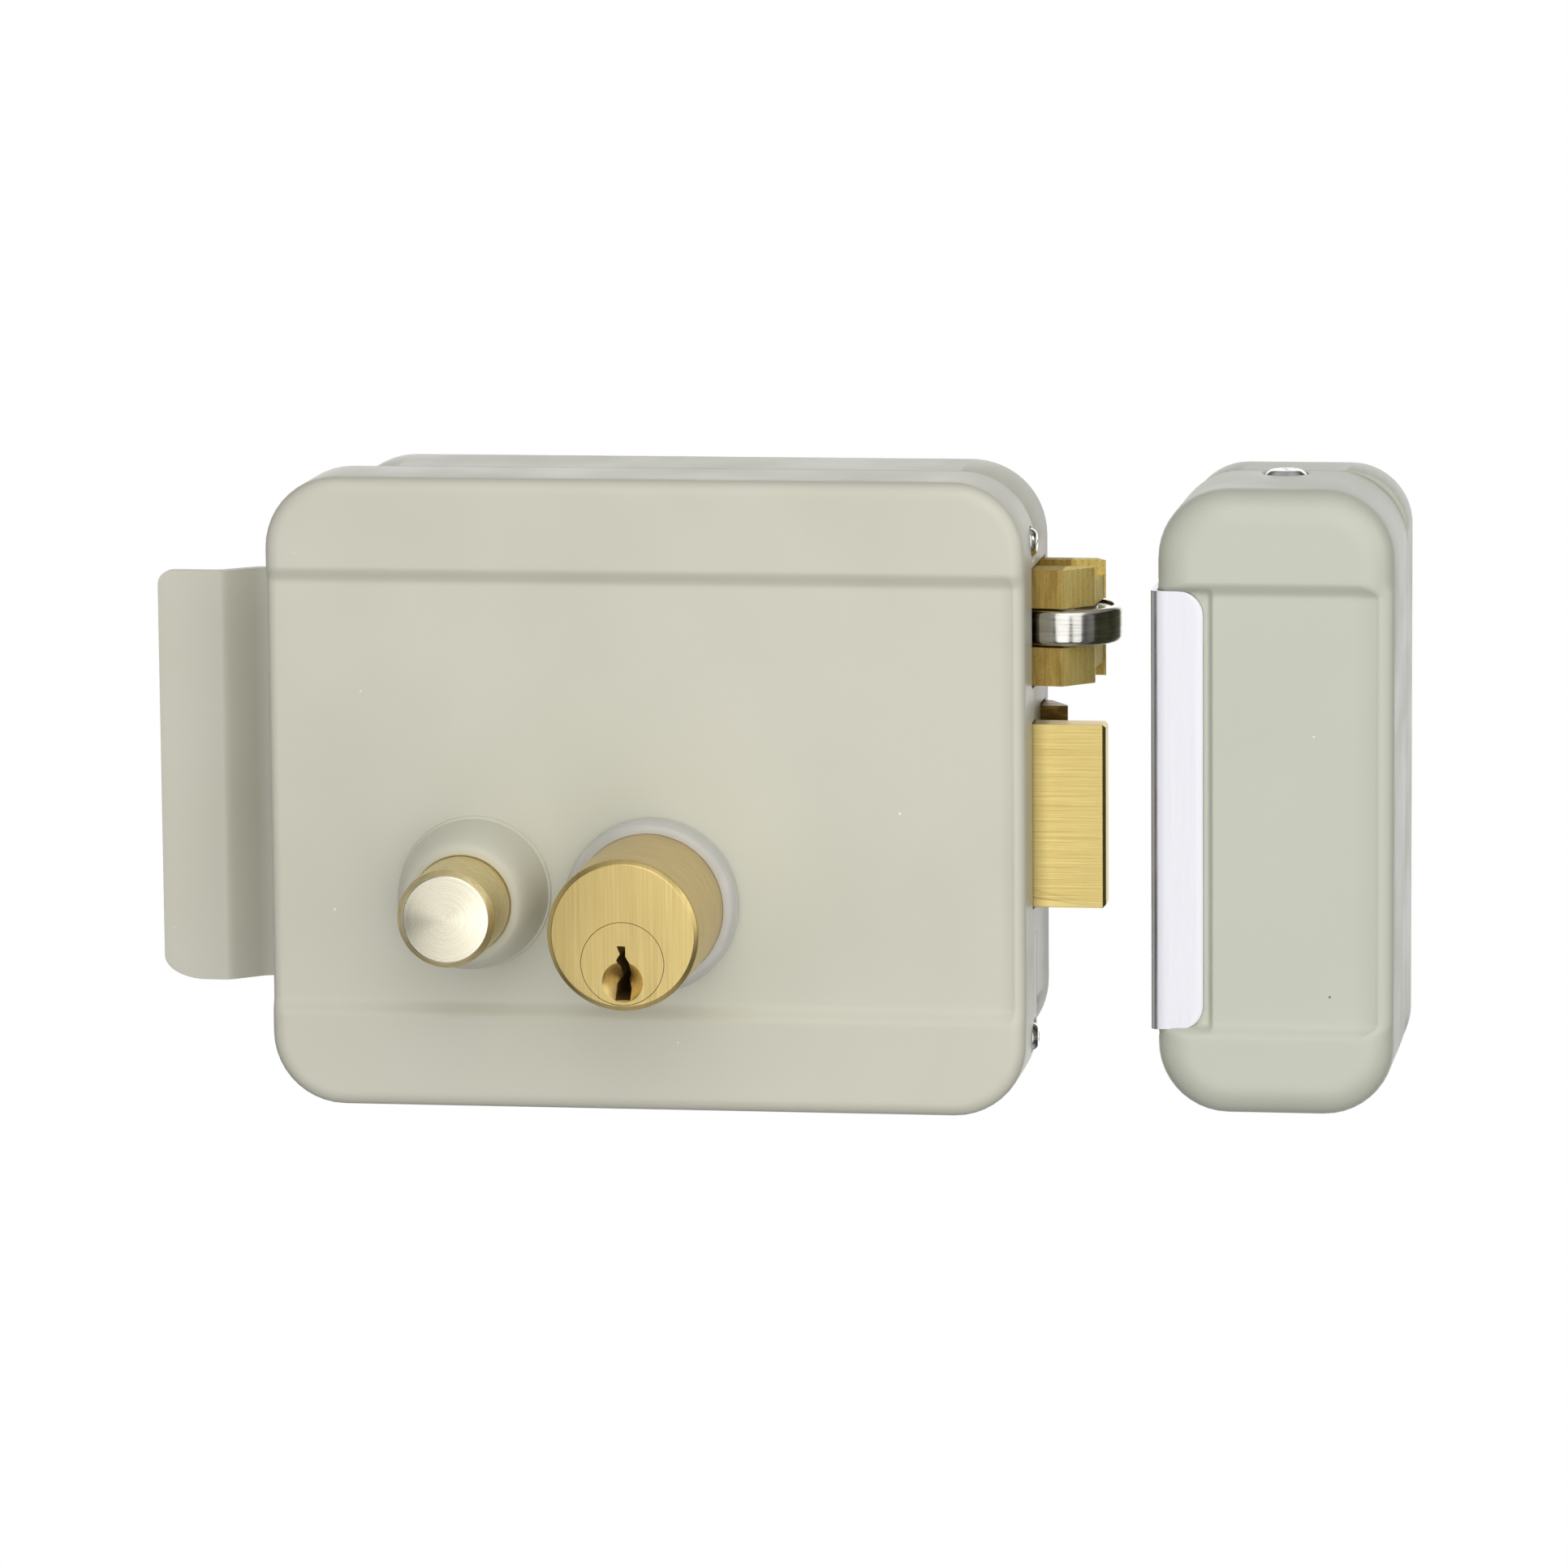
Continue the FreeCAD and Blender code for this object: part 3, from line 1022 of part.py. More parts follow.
def keeper_base():
    """Rear shell of the keeper with its floor and screw tabs, slightly smaller than the front one."""
    x = (KEEPER_X[0] + KEEPER_BASE_INSET, KEEPER_X[1])
    z = (KEEPER_Z[0] + KEEPER_BASE_INSET, KEEPER_Z[1])
    outer_r = KEEPER_R - KEEPER_BASE_INSET
    room_z = (z[0] + KEEPER_SHEET, z[1] - KEEPER_SHEET)
    outer = rounded_block(x, (KEEPER_SEAM_Y, 0), z, outer_r)
    outer = outer.makeFillet(BACK_BEND_R, edges_at_y(outer, 0))
    inner = rounded_block((x[0] + KEEPER_SHEET, x[1] - KEEPER_SHEET), (KEEPER_SEAM_Y, -KEEPER_SHEET), room_z,
                          outer_r - KEEPER_SHEET)
    screw_x, screw_y = KEEPER_SCREW
    tab_half, tab_reach = KEEPER_TAB
    pieces = [outer.cut(inner)]
    tab_x = (screw_x - tab_half, screw_x + tab_half)
    for wall_z, cover_z, inward in ((room_z[0], KEEPER_Z[0], 1), (room_z[1], KEEPER_Z[1], -1)):
        cup_z = cover_z + inward * (KEEPER_DIMPLE_DEPTH + SHEET)
        tab_z = cup_z + inward * KEEPER_SHEET
        pieces.append(box(tab_x, (-tab_reach, KEEPER_SEAM_Y), (cup_z, tab_z)))
        pieces.append(box(tab_x, (KEEPER_SEAM_Y, -KEEPER_SHEET), (wall_z, tab_z)))
    mouth_z = (-KEEPER_MOUTH_Z, KEEPER_MOUTH_Z)
    base = join(pieces).cut(box((x[0] - 1, x[0] + 2 * KEEPER_SHEET), (KEEPER_SEAM_Y, -KEEPER_SILL), mouth_z))
    for side in (-1, 1):
        base = base.cut(rod_z(KEEPER_SCREW_SHANK_R, (side * 40, side * 60), screw_x, screw_y))
        base = base.cut(floor_hole(MOUNT_HOLE_R, KEEPER_HOLE_X, side * KEEPER_HOLE_Z))
    return base


def keeper_screws():
    screw = pan_screw(*KEEPER_SCREW_HEAD, KEEPER_SCREW_SHANK_R, 5.0)
    x, y = KEEPER_SCREW
    top = aimed(screw, Vector(x, y, KEEPER_Z[1] - KEEPER_DIMPLE_DEPTH), Z_AXIS)
    low = aimed(screw, Vector(x, y, KEEPER_Z[0] + KEEPER_DIMPLE_DEPTH), -Z_AXIS)
    return group([top, low])


def strike_strip():
    """Stainless strip in the step beside the mouth, folded back round the mouth's edge."""
    face_y = -KEEPER_D + RECESS
    back_y = face_y + STRIP_SHEET
    leg_y = face_y + STRIP_LEG
    outline = [(STRIP_X[0], face_y + STRIP_BEVEL), (STRIP_X[0] + STRIP_BEVEL, face_y), (STRIP_X[1], face_y),
               (STRIP_X[1], back_y), (KEEPER_X[0], back_y), (KEEPER_X[0], leg_y), (STRIP_X[0], leg_y)]
    strip = prism_z(outline, (-KEEPER_BAND_Z + 0.2, KEEPER_BAND_Z - 0.2))
    corners = [e for e in strip.Edges if runs_along(e, Y_AXIS) and e.Vertexes[0].Point.x > STRIP_X[1] - 0.1]
    return strip.makeFillet(STRIP_CORNER_R, corners)


def strip_studs():
    """Studs behind the strike strip, swaged over inside the cover."""
    front = -KEEPER_D + RECESS + STRIP_SHEET
    back = front + KEEPER_SHEET
    head_r, head_h = STUD_HEAD
    studs = []
    for z in STUD_Z:
        head = rod_y(head_r, (back, back + head_h), STUD_X, z)
        studs.append(join([rod_y(STUD_R, (front, back), STUD_X, z), head]))
    return group(studs)


# ---------------------------------------------------------------- output
PIECES = [
    front_cover, rear_tray, finger_pull, pull_rivets, cover_screws,
    button_collar, collar_nut, button_bridge, push_button, button_stem, button_clip, button_spring,
    cylinder_body, cylinder_ring, cylinder_bracket, cylinder_screws, cylinder_plug, key_pins, driver_pins,
    pin_springs, plug_gear, plug_screw,
    latch_bolt, roller_pin, roller_inner_ring, roller_outer_ring, roller_balls, latch_tail, latch_peg,
    latch_spring, spring_bracket, release_plate, release_rivets, guide_posts,
    deadbolt, deadbolt_tail, deadbolt_rivets, trigger_bolt, trigger_spring, trigger_guide,
    solenoid_yoke, coil_bobbin, coil_winding, plunger, plunger_collar, plunger_peg, plunger_spring,
    release_lever, lever_post, lever_clip, terminal_block, terminal_screws, coil_leads,
    keeper_cover, keeper_base, keeper_screws, strike_strip, strip_studs,
]

os.makedirs("parts", exist_ok=True)
for piece in PIECES:
    shape = piece()
    shape.exportStep("parts/" + piece.__name__ + ".step")
    bounds = shape.BoundBox
    print("%-18s solids %2d valid %s volume %9.1f  x %.1f..%.1f y %.1f..%.1f z %.1f..%.1f" % (
        piece.__name__, len(shape.Solids), shape.isValid(), shape.Volume,
        bounds.XMin, bounds.XMax, bounds.YMin, bounds.YMax, bounds.ZMin, bounds.ZMax))
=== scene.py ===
import json
import math

import bmesh
import bpy
from mathutils import Matrix, Vector


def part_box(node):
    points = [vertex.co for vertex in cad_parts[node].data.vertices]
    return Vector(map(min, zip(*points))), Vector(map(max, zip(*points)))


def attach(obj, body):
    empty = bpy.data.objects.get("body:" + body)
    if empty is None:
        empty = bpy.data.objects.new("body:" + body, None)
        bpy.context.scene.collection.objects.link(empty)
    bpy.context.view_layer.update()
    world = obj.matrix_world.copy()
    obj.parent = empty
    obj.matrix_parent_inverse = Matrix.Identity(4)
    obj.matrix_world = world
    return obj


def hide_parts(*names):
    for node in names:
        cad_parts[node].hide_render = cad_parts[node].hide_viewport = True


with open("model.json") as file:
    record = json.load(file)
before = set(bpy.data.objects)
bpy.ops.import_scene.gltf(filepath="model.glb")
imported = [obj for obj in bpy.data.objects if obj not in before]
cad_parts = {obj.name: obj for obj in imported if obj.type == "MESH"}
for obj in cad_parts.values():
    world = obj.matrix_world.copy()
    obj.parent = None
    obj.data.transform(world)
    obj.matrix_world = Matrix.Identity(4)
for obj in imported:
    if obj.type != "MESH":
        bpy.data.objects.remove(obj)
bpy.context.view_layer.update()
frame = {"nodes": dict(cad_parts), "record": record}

# Looks of the electric rim lock and its keeper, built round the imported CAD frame. Lengths in this script are
# millimetres in the row frame (front towards -Y, keeper towards +X, up +Z) until a mesh is made.
MM = 0.001


def span(node, axis):
    """Low and high millimetres of a CAD node along one axis."""
    low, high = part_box(node)
    return low[axis] / MM, high[axis] / MM


def middle(node, axis):
    return sum(span(node, axis)) / 2


# ---------------------------------------------------------------- mesh helpers
def piece(name, verts, faces, closed=True, sharp=35.0):
    """Mesh object from points in millimetres. A closed one gets its normals turned outward."""
    mesh = bpy.data.meshes.new(name)
    mesh.from_pydata([(x * MM, y * MM, z * MM) for x, y, z in verts], [], faces)
    if closed:
        work = bmesh.new()
        work.from_mesh(mesh)
        bmesh.ops.recalc_face_normals(work, faces=work.faces)
        work.to_mesh(mesh)
        work.free()
    obj = bpy.data.objects.new(name, mesh)
    bpy.context.scene.collection.objects.link(obj)
    shade(obj, sharp)
    return obj


def shade(obj, sharp):
    obj.data.shade_smooth()
    obj.data.set_sharp_from_angle(angle=math.radians(sharp))


def apply_modifiers(obj):
    graph = bpy.context.evaluated_depsgraph_get()
    mesh = bpy.data.meshes.new_from_object(obj.evaluated_get(graph), depsgraph=graph)
    obj.modifiers.clear()
    old = obj.data
    obj.data = mesh
    bpy.data.meshes.remove(old)


def carve(obj, cutters, operation="DIFFERENCE", sharp=35.0):
    for cutter in cutters:
        cut = obj.modifiers.new("cut", "BOOLEAN")
        cut.object = cutter
        cut.operation = operation
        cut.solver = "EXACT"
    apply_modifiers(obj)
    for cutter in cutters:
        bpy.data.objects.remove(cutter)
    shade(obj, sharp)


def merge(name, objects):
    """One object of several, in the row frame."""
    work = bmesh.new()
    for obj in objects:
        work.from_mesh(obj.data)
    mesh = bpy.data.meshes.new(name)
    work.to_mesh(mesh)
    work.free()
    for obj in objects:
        bpy.data.objects.remove(obj)
    whole = bpy.data.objects.new(name, mesh)
    bpy.context.scene.collection.objects.link(whole)
    shade(whole, 35.0)
    return whole


def rounded(points, closed=False):
    """Polyline of (a, b, radius) points with each corner turned into a small curve."""
    out = []
    count = len(points)
    for i, (a, b, radius) in enumerate(points):
        here = Vector((a, b))
        if radius <= 0 or (not closed and i in (0, count - 1)):
            out.append((a, b))
            continue
        before = Vector(points[i - 1][:2]) - here
        after = Vector(points[(i + 1) % count][:2]) - here
        start = here + before.normalized() * min(radius, before.length * 0.49)
        end = here + after.normalized() * min(radius, after.length * 0.49)
        for step in range(7):
            t = step / 6
            p = start * (1 - t) ** 2 + here * (2 * t * (1 - t)) + end * t ** 2
            out.append((p.x, p.y))
    return out


def lathe(name, profile, place, closed=False, segments=144, sharp=35.0):
    """Turned piece: (radius, height) points about the local +Z of a placement."""
    verts, rings, faces = [], [], []
    for radius, height in profile:
        first = len(verts)
        if radius < 1e-6:
            verts.append((0.0, 0.0, height))
            rings.append([first] * segments)
            continue
        for i in range(segments):
            angle = 2 * math.pi * i / segments
            verts.append((radius * math.cos(angle), radius * math.sin(angle), height))
        rings.append(list(range(first, first + segments)))
    pairs = list(zip(rings, rings[1:]))
    if closed:
        pairs.append((rings[-1], rings[0]))
    for low, high in pairs:
        for i in range(segments):
            j = (i + 1) % segments
            face = list(dict.fromkeys((low[i], high[i], high[j], low[j])))
            if len(face) > 2:
                faces.append(face)
    return piece(name, [place @ Vector(v) for v in verts], faces, sharp=sharp)


def to_front(x, z):
    """Placement whose local +Z looks out of the door; a height h stands for y = -h."""
    return Matrix(((1, 0, 0, x), (0, 0, -1, 0), (0, 1, 0, z), (0, 0, 0, 1)))


def to_keeper(x, y, z):
    return Matrix(((0, 0, 1, x), (1, 0, 0, y), (0, 1, 0, z), (0, 0, 0, 1)))


def to_vertical(x, y, z, way):
    return Matrix(((1, 0, 0, x), (0, way, 0, y), (0, 0, way, z), (0, 0, 0, 1)))


def rod(name, radius, low, high, place, segments=96):
    return lathe(name, [(0, low), (radius, low), (radius, high), (0, high)], place, segments=segments)


def grid(rows, columns):
    """Quads of a grid whose points are listed row by row."""
    starts = [j * columns + k for j in range(rows - 1) for k in range(columns - 1)]
    return [(a, a + 1, a + 1 + columns, a + columns) for a in starts]


def bent_sheet(name, verts, columns, sheet, edge_width, segments, even=False):
    """Sheet grown to its thickness behind a grid of points, its edges rounded over."""
    obj = piece(name, verts, grid(len(verts) // columns, columns), closed=False)
    thick = obj.modifiers.new("sheet", "SOLIDIFY")
    thick.thickness = sheet * MM
    thick.offset = -1
    thick.use_even_offset = even
    edge = obj.modifiers.new("edge", "BEVEL")
    edge.width = edge_width * MM
    edge.segments = segments
    edge.limit_method = "ANGLE"
    edge.angle_limit = math.radians(55)
    apply_modifiers(obj)
    shade(obj, 50)
    return obj


def block(name, x, y, z):
    corners = [(a, b, c) for a in x for b in y for c in z]
    faces = [(0, 1, 3, 2), (4, 6, 7, 5), (0, 4, 5, 1), (2, 3, 7, 6), (0, 2, 6, 4), (1, 5, 7, 3)]
    return piece(name, corners, faces)


def smooth(t):
    t = max(0.0, min(1.0, t))
    return t * t * (3 - 2 * t)


def mix(a, b, t):
    return a + (b - a) * t


# ---------------------------------------------------------------- pressed shells
def pressed_shell(name, x, z, corner, reach, seam_y, face_y, fillet, lip, columns, levels, sheet):
    """Deep-drawn front: a grid over its face, rings round the bent edge and a wall back to the seam.

    The grid ends at the inset called reach. face_y, fillet and lip give the face's depth, the bend's radius
    and the height of the slight ridge beside the right wall, and the inner skin follows one sheet behind.
    """
    turns = [0.0] + [math.radians(8.1 * i) for i in range(1, 11)] + [math.pi / 2]
    rows = [(z[0] + corner, -t) for t in reversed(turns)]
    rows += [(level, 0.0) for level in levels if z[0] + corner + 0.1 < level < z[1] - corner - 0.1]
    rows += [(z[1] - corner, t) for t in turns]
    last_row, last_column = len(rows) - 1, len(columns) - 1
    verts = []
    width = x[1] - x[0]

    def edge_x(turn, inset):
        return x[0] + corner - (corner - inset) * math.cos(turn)

    for base, turn in rows:
        level = base + (corner - reach) * math.sin(turn)
        left = edge_x(turn, reach)
        inner = width - 2 * (left - x[0])
        for share in columns:
            px = left + inner * share
            verts.append((px, face_y(px, level), level))
    stride = len(columns)
    faces = grid(len(rows), stride)

    loop = []
    for j, (base, turn) in enumerate(rows):
        loop.append((x[1] - corner, base, math.cos(turn), math.sin(turn), j * stride + last_column))
    for k in range(last_column - 1, 0, -1):
        centre = x[0] + corner + (width - 2 * corner) * columns[k]
        loop.append((centre, z[1] - corner, 0.0, 1.0, last_row * stride + k))
    for j in range(last_row, -1, -1):
        base, turn = rows[j]
        loop.append((x[0] + corner, base, -math.cos(turn), math.sin(turn), j * stride))
    for k in range(1, last_column):
        centre = x[0] + corner + (width - 2 * corner) * columns[k]
        loop.append((centre, z[0] + corner, 0.0, -1.0, k))

    def section(px, pz, nx):
        """Inset, y and tilt of each ring: 0 where the sheet faces the front, 90 where it is a wall."""
        face = face_y(px, pz)
        bend = fillet(pz)
        raised = lip(pz) if nx > 0.99 else 0.0
        out = [(bend + 0.55, face, 0), (bend + 0.25, face - 0.55 * raised, 0), (bend, face - raised, 0)]
        for degrees in range(9, 91, 9):
            turn = math.radians(degrees)
            y = face - raised * (1 - degrees / 90) + bend * (1 - math.cos(turn))
            out.append((bend * (1 - math.sin(turn)), y, degrees))
        wall = out[-1][1]
        out += [(0.0, mix(wall, seam_y - 0.6, share), 90) for share in (0.3, 0.65, 1.0)]
        return out + [(0.06, seam_y - 0.2, 90), (0.28, seam_y, 90)]

    previous = [vertex for *_, vertex in loop]
    sections = []
    for cx, cz, nx, nz, _ in loop:
        px, pz = cx + (corner - 2.0) * nx, cz + (corner - 2.0) * nz
        sections.append(section(px, pz, nx))
    inner = [(px, py + sheet, pz) for px, py, pz in verts]
    for ring in range(len(sections[0])):
        current = []
        for (cx, cz, nx, nz, _), ways in zip(loop, sections):
            inset, y, tilt = ways[ring]
            current.append(len(verts))
            verts.append((cx + (corner - inset) * nx, y, cz + (corner - inset) * nz))
            tilt = math.radians(tilt)
            deep = corner - inset - sheet * math.sin(tilt)
            inner.append((cx + deep * nx, y + sheet * math.cos(tilt), cz + deep * nz))
        for i in range(len(loop)):
            j = (i + 1) % len(loop)
            faces.append((previous[i], current[i], current[j], previous[j]))
        previous = current
    count = len(verts)
    rim = [(previous[i], previous[i] + count, previous[i - 1] + count, previous[i - 1])
           for i in range(len(previous))]
    inside = [tuple(v + count for v in reversed(face)) for face in faces]
    return piece(name, verts + inner, faces + inside + rim, sharp=40)


def band_levels(edge, step=0.35, count=14):
    """Heights for the rows: close together across the two creases and wide apart between them."""
    near = [edge - 2.2 + step * i for i in range(count)]
    wide = [4.0 * i for i in range(9)]
    return sorted({round(side * level, 3) for side in (-1, 1) for level in near + wide})


# ---------------------------------------------------------------- lock case
case_x, case_z = span("front_cover", 0), span("front_cover", 2)
case_front, seam = span("front_cover", 1)
# Pairs are the recess's value and the raised bands', or the low and the high end.
CORNER = 12.0
CASE_REACH = 4.2
CASE_SHEET = 1.2
CASE_FILLET = (1.75, 2.5)
CASE_LIP = 0.22
CASE_COLUMNS = 28
PRESS = 1.5
CREASES = (-35.9, 36.3)
CREASE_WIDTH = 2.9
BAND_EDGE = 36.1
NECK_HOLE_R = 9.95
RING_BORE_R = 12.45
NOTCH_X = (60.8, 64)
NOTCH_Z = (-24.0, 38.0)
NOTCH_FRONT = -24.0

# Head radius and height, then shank radius and length, of the screws in the case and in the keeper.
SCREW_HEAD, SCREW_SHANK = (2.4, 1.6), (1.5, 6.0)
KEEPER_HEAD, KEEPER_SHANK = (3.5, 1.5), (2.0, 5.0)
SCREW_LEVELS = (span("cover_screws", 2)[0] + SCREW_HEAD[0], span("cover_screws", 2)[1] - SCREW_HEAD[0])
SCREW_TURNS = (0.5, 0.2)
KEEPER_SCREW_TURNS = (0.35, 0.8)
DIMPLE_R, DIMPLE_RIM = 2.7, 3.9
SEAT_SHEET = 1.2


def proud(z, creases=CREASES, width=CREASE_WIDTH):
    """1 on the two raised bands, 0 in the recess between them."""
    return max(smooth((z - creases[1]) / width + 0.5), smooth((creases[0] - z) / width + 0.5))


def cover_face(_, z):
    return case_front + PRESS * (1 - proud(z))


def front_cover():
    """Drawn shell with holes for the button's neck and the key cylinder, a bolt notch and two dimples."""
    columns = [k / CASE_COLUMNS for k in range(CASE_COLUMNS + 1)]
    shell = pressed_shell("cover_shell", case_x, case_z, CORNER, CASE_REACH, seam, cover_face,
                          lambda z: mix(*CASE_FILLET, proud(z)), lambda z: CASE_LIP * (1 - proud(z)),
                          columns, band_levels(BAND_EDGE), CASE_SHEET)
    button_x, button_z = middle("push_button", 0), middle("push_button", 2)
    key_x, key_z = middle("cylinder_body", 0), middle("cylinder_body", 2)
    cutters = [rod("cut_neck", NECK_HOLE_R, 30, 38, to_front(button_x, button_z)),
               rod("cut_key", RING_BORE_R, 30, 38, to_front(key_x, key_z)),
               block("cut_notch", NOTCH_X, (NOTCH_FRONT, seam + 1), NOTCH_Z)]
    screw_y = middle("cover_screws", 1)
    seats = []
    for z in SCREW_LEVELS:
        seat = span("cover_screws", 0)[1] - SCREW_HEAD[1]
        profile = [(0, seat - 3), (DIMPLE_R, seat - 3), (DIMPLE_R, seat + 0.35), (DIMPLE_R + 0.1, seat + 0.6),
                   (DIMPLE_R + 0.4, seat + 0.85), (DIMPLE_RIM, seat + 1.1), (DIMPLE_RIM, seat + 3),
                   (0, seat + 3)]
        cutters.append(lathe("cut_dimple", profile, to_keeper(0, screw_y, z), segments=64))
        hole, rim, back = SCREW_SHANK[0], DIMPLE_R + 0.5, seat - SEAT_SHEET
        washer = [(hole, seat), (rim, seat), (rim, back), (hole, back)]
        seats.append(lathe("seat", washer, to_keeper(0, screw_y, z), closed=True, segments=64))
    carve(shell, cutters, sharp=40)
    return merge("front_cover_pressed", [shell] + seats)


def pan_screw(name, place, head, height, shank, length, slot):
    """Pan-head cross screw; local height 0 is its seat."""
    profile = rounded([(0, height, 0), (head * 0.72, height, 0.5), (head, height * 0.45, 0.55),
                       (head, 0, 0.12), (shank, 0, 0), (shank, -length, 0), (0, -length, 0)])
    screw = lathe(name, profile, place, segments=72, sharp=40)
    cutters = []
    for turn in (slot, slot + math.pi / 2):
        arm, half, depth = head * 0.52, head * 0.13, height * 0.62
        corners = [(-arm * 0.8, -half * 0.6, height - depth), (arm * 0.8, -half * 0.6, height - depth),
                   (arm * 0.8, half * 0.6, height - depth), (-arm * 0.8, half * 0.6, height - depth),
                   (-arm, -half, height + 0.3), (arm, -half, height + 0.3),
                   (arm, half, height + 0.3), (-arm, half, height + 0.3)]
        spin = place @ Matrix.Rotation(turn, 4, "Z")
        faces = [(0, 3, 2, 1), (4, 5, 6, 7), (0, 1, 5, 4), (1, 2, 6, 5), (2, 3, 7, 6), (3, 0, 4, 7)]
        cutters.append(piece("slot", [spin @ Vector(c) for c in corners], faces))
    carve(screw, cutters, sharp=40)
    return screw


def cover_screws():
    y = middle("cover_screws", 1)
    seat = span("cover_screws", 0)[1] - SCREW_HEAD[1]
    return merge("cover_screw_pair", [
        pan_screw("screw", to_keeper(seat, y, z), *SCREW_HEAD, *SCREW_SHANK, turn)
        for z, turn in zip(SCREW_LEVELS, SCREW_TURNS)])


def keeper_screws():
    x, y = middle("keeper_screws", 0), middle("keeper_screws", 1)
    low, high = span("keeper_screws", 2)
    seats = ((high - KEEPER_HEAD[1], 1), (low + KEEPER_HEAD[1], -1))
    return merge("keeper_screw_pair", [
        pan_screw("screw", to_vertical(x, y, z, way), *KEEPER_HEAD, *KEEPER_SHANK, turn)
        for (z, way), turn in zip(seats, KEEPER_SCREW_TURNS)])


PULL_SHEET, PULL_EDGE = 2.0, 0.7
PULL_GRIP_X = -75.6
PULL_BEND_X = (-74.2, -68.6)
PULL_PANEL_Y = -11.0
PULL_FOOT_Y = -1.0
PULL_CORNER_LOW, PULL_CORNER_TOP = (7.2, 4.0), (2.4, 2.4)


def finger_pull():
    """Pressed grip with soft bends and rounded edges."""
    low, high = span("finger_pull", 2)
    left, foot = span("finger_pull", 0)
    front = span("finger_pull", 1)[0]
    bends = rounded([(PULL_GRIP_X, front, 0), (PULL_BEND_X[0], front, 1.5),
                     (PULL_BEND_X[1], PULL_PANEL_Y, 1.6), (foot, PULL_PANEL_Y, 2.6), (foot, PULL_FOOT_Y, 0)])
    corner_low, corner_top = PULL_CORNER_LOW, PULL_CORNER_TOP
    rows = []
    for i in range(10, 0, -1):
        t = math.radians(9 * i)
        rows.append((low + corner_low[1] * (1 - math.sin(t)), left + corner_low[0] * (1 - math.cos(t))))
    straight = (low + corner_low[1], high - corner_top[1])
    rows += [(mix(*straight, i / 16), left) for i in range(17)]
    for i in range(1, 9):
        t = math.radians(11.25 * i)
        rows.append((high - corner_top[1] * (1 - math.sin(t)), left + corner_top[0] * (1 - math.cos(t))))
    verts = []
    across = 6
    for z, edge in rows:
        for k in range(across):
            verts.append((mix(edge, bends[0][0], k / across), front, z))
        verts += [(px, py, z) for px, py in bends]
    return bent_sheet("finger_pull_pressed", verts, across + len(bends), PULL_SHEET, PULL_EDGE, 4, even=True)


# ---------------------------------------------------------------- button, key cylinder and collars
COLLAR_BORE_R, COLLAR_RIM_R = 8.1, 9.15
COLLAR_NECK_R, COLLAR_NECK = 9.9, 7.0
COLLAR_STEPS = 14
BUTTON_BACK, STEM_HOLE_R, STEM_HOLE_END = 40.1, 2.0, 46.0
CYLINDER_CHAMFER = 0.75
PLUG_BORE_R = 6.84


def button_collar():
    """Dome round the button, a quarter of an ellipse in section, with its threaded neck as a plain tube."""
    x, z = middle("button_collar", 0), middle("button_collar", 2)
    front = -span("button_collar", 1)[0]
    base = -(case_front + PRESS)
    outer = span("button_collar", 0)[1] - x
    bore, rim = COLLAR_BORE_R, COLLAR_RIM_R
    points = [(bore, front - 0.25), (bore + 0.25, front), (rim - 0.35, front)]
    height = front - base - 0.55
    for step in range(COLLAR_STEPS + 1):
        angle = math.pi / 2 * (1 - step / COLLAR_STEPS)
        radius = rim - 0.1 + (outer - 0.35 - rim) * math.cos(angle)
        points.append((radius, base + 0.55 + height * math.sin(angle)))
    points += [(outer - 0.12, base + 0.5), (outer, base + 0.32), (outer, base), (COLLAR_NECK_R, base),
               (COLLAR_NECK_R, base - COLLAR_NECK), (bore, base - COLLAR_NECK)]
    return lathe("button_collar_dome", points, to_front(x, z), closed=True, segments=192, sharp=40)


def push_button():
    x, z = middle("push_button", 0), middle("push_button", 2)
    front = -span("push_button", 1)[0]
    radius = span("push_button", 0)[1] - x
    profile = rounded([(0, front, 0), (radius - 1.0, front, 0.12), (radius, front - 1.05, 0.16),
                       (radius, BUTTON_BACK, 0.3), (STEM_HOLE_R, BUTTON_BACK, 0),
                       (STEM_HOLE_R, STEM_HOLE_END, 0), (0, STEM_HOLE_END, 0)])
    return lathe("push_button_turned", profile, to_front(x, z), segments=192, sharp=30)


def cylinder_body():
    x, z = middle("cylinder_body", 0), middle("cylinder_body", 2)
    low, high = span("cylinder_body", 1)
    radius = span("cylinder_body", 0)[1] - x
    chamfer = CYLINDER_CHAMFER
    profile = rounded([(0, -low, 0), (radius - chamfer, -low, 0.15), (radius, -low - chamfer, 0.25),
                       (radius, -high, 0), (0, -high, 0)])
    body = lathe("cylinder_body_turned", profile, to_front(x, z), segments=192, sharp=30)
    plug_z = middle("cylinder_plug", 2)
    bore = rod("cut_plug", PLUG_BORE_R, -high - 1, -low + 1, to_front(x, plug_z), segments=128)
    carve(body, [bore], sharp=30)
    return body


def cylinder_ring():
    x, z = middle("cylinder_ring", 0), middle("cylinder_ring", 2)
    front, back = (-v for v in span("cylinder_ring", 1))
    outer = span("cylinder_ring", 0)[1] - x
    profile = rounded([(RING_BORE_R, back, 0), (outer, back, 0), (outer, back + 3.7, 0.5),
                       (outer - 0.55, front - 0.3, 0.4), (outer - 1.2, front, 0.3),
                       (RING_BORE_R, front, 0.15)])
    return lathe("cylinder_ring_moulded", profile, to_front(x, z), closed=True, segments=192, sharp=40)


# ---------------------------------------------------------------- latch roller
RACE_R = 7.9
SHIELD_R = (3.9, 7.95)


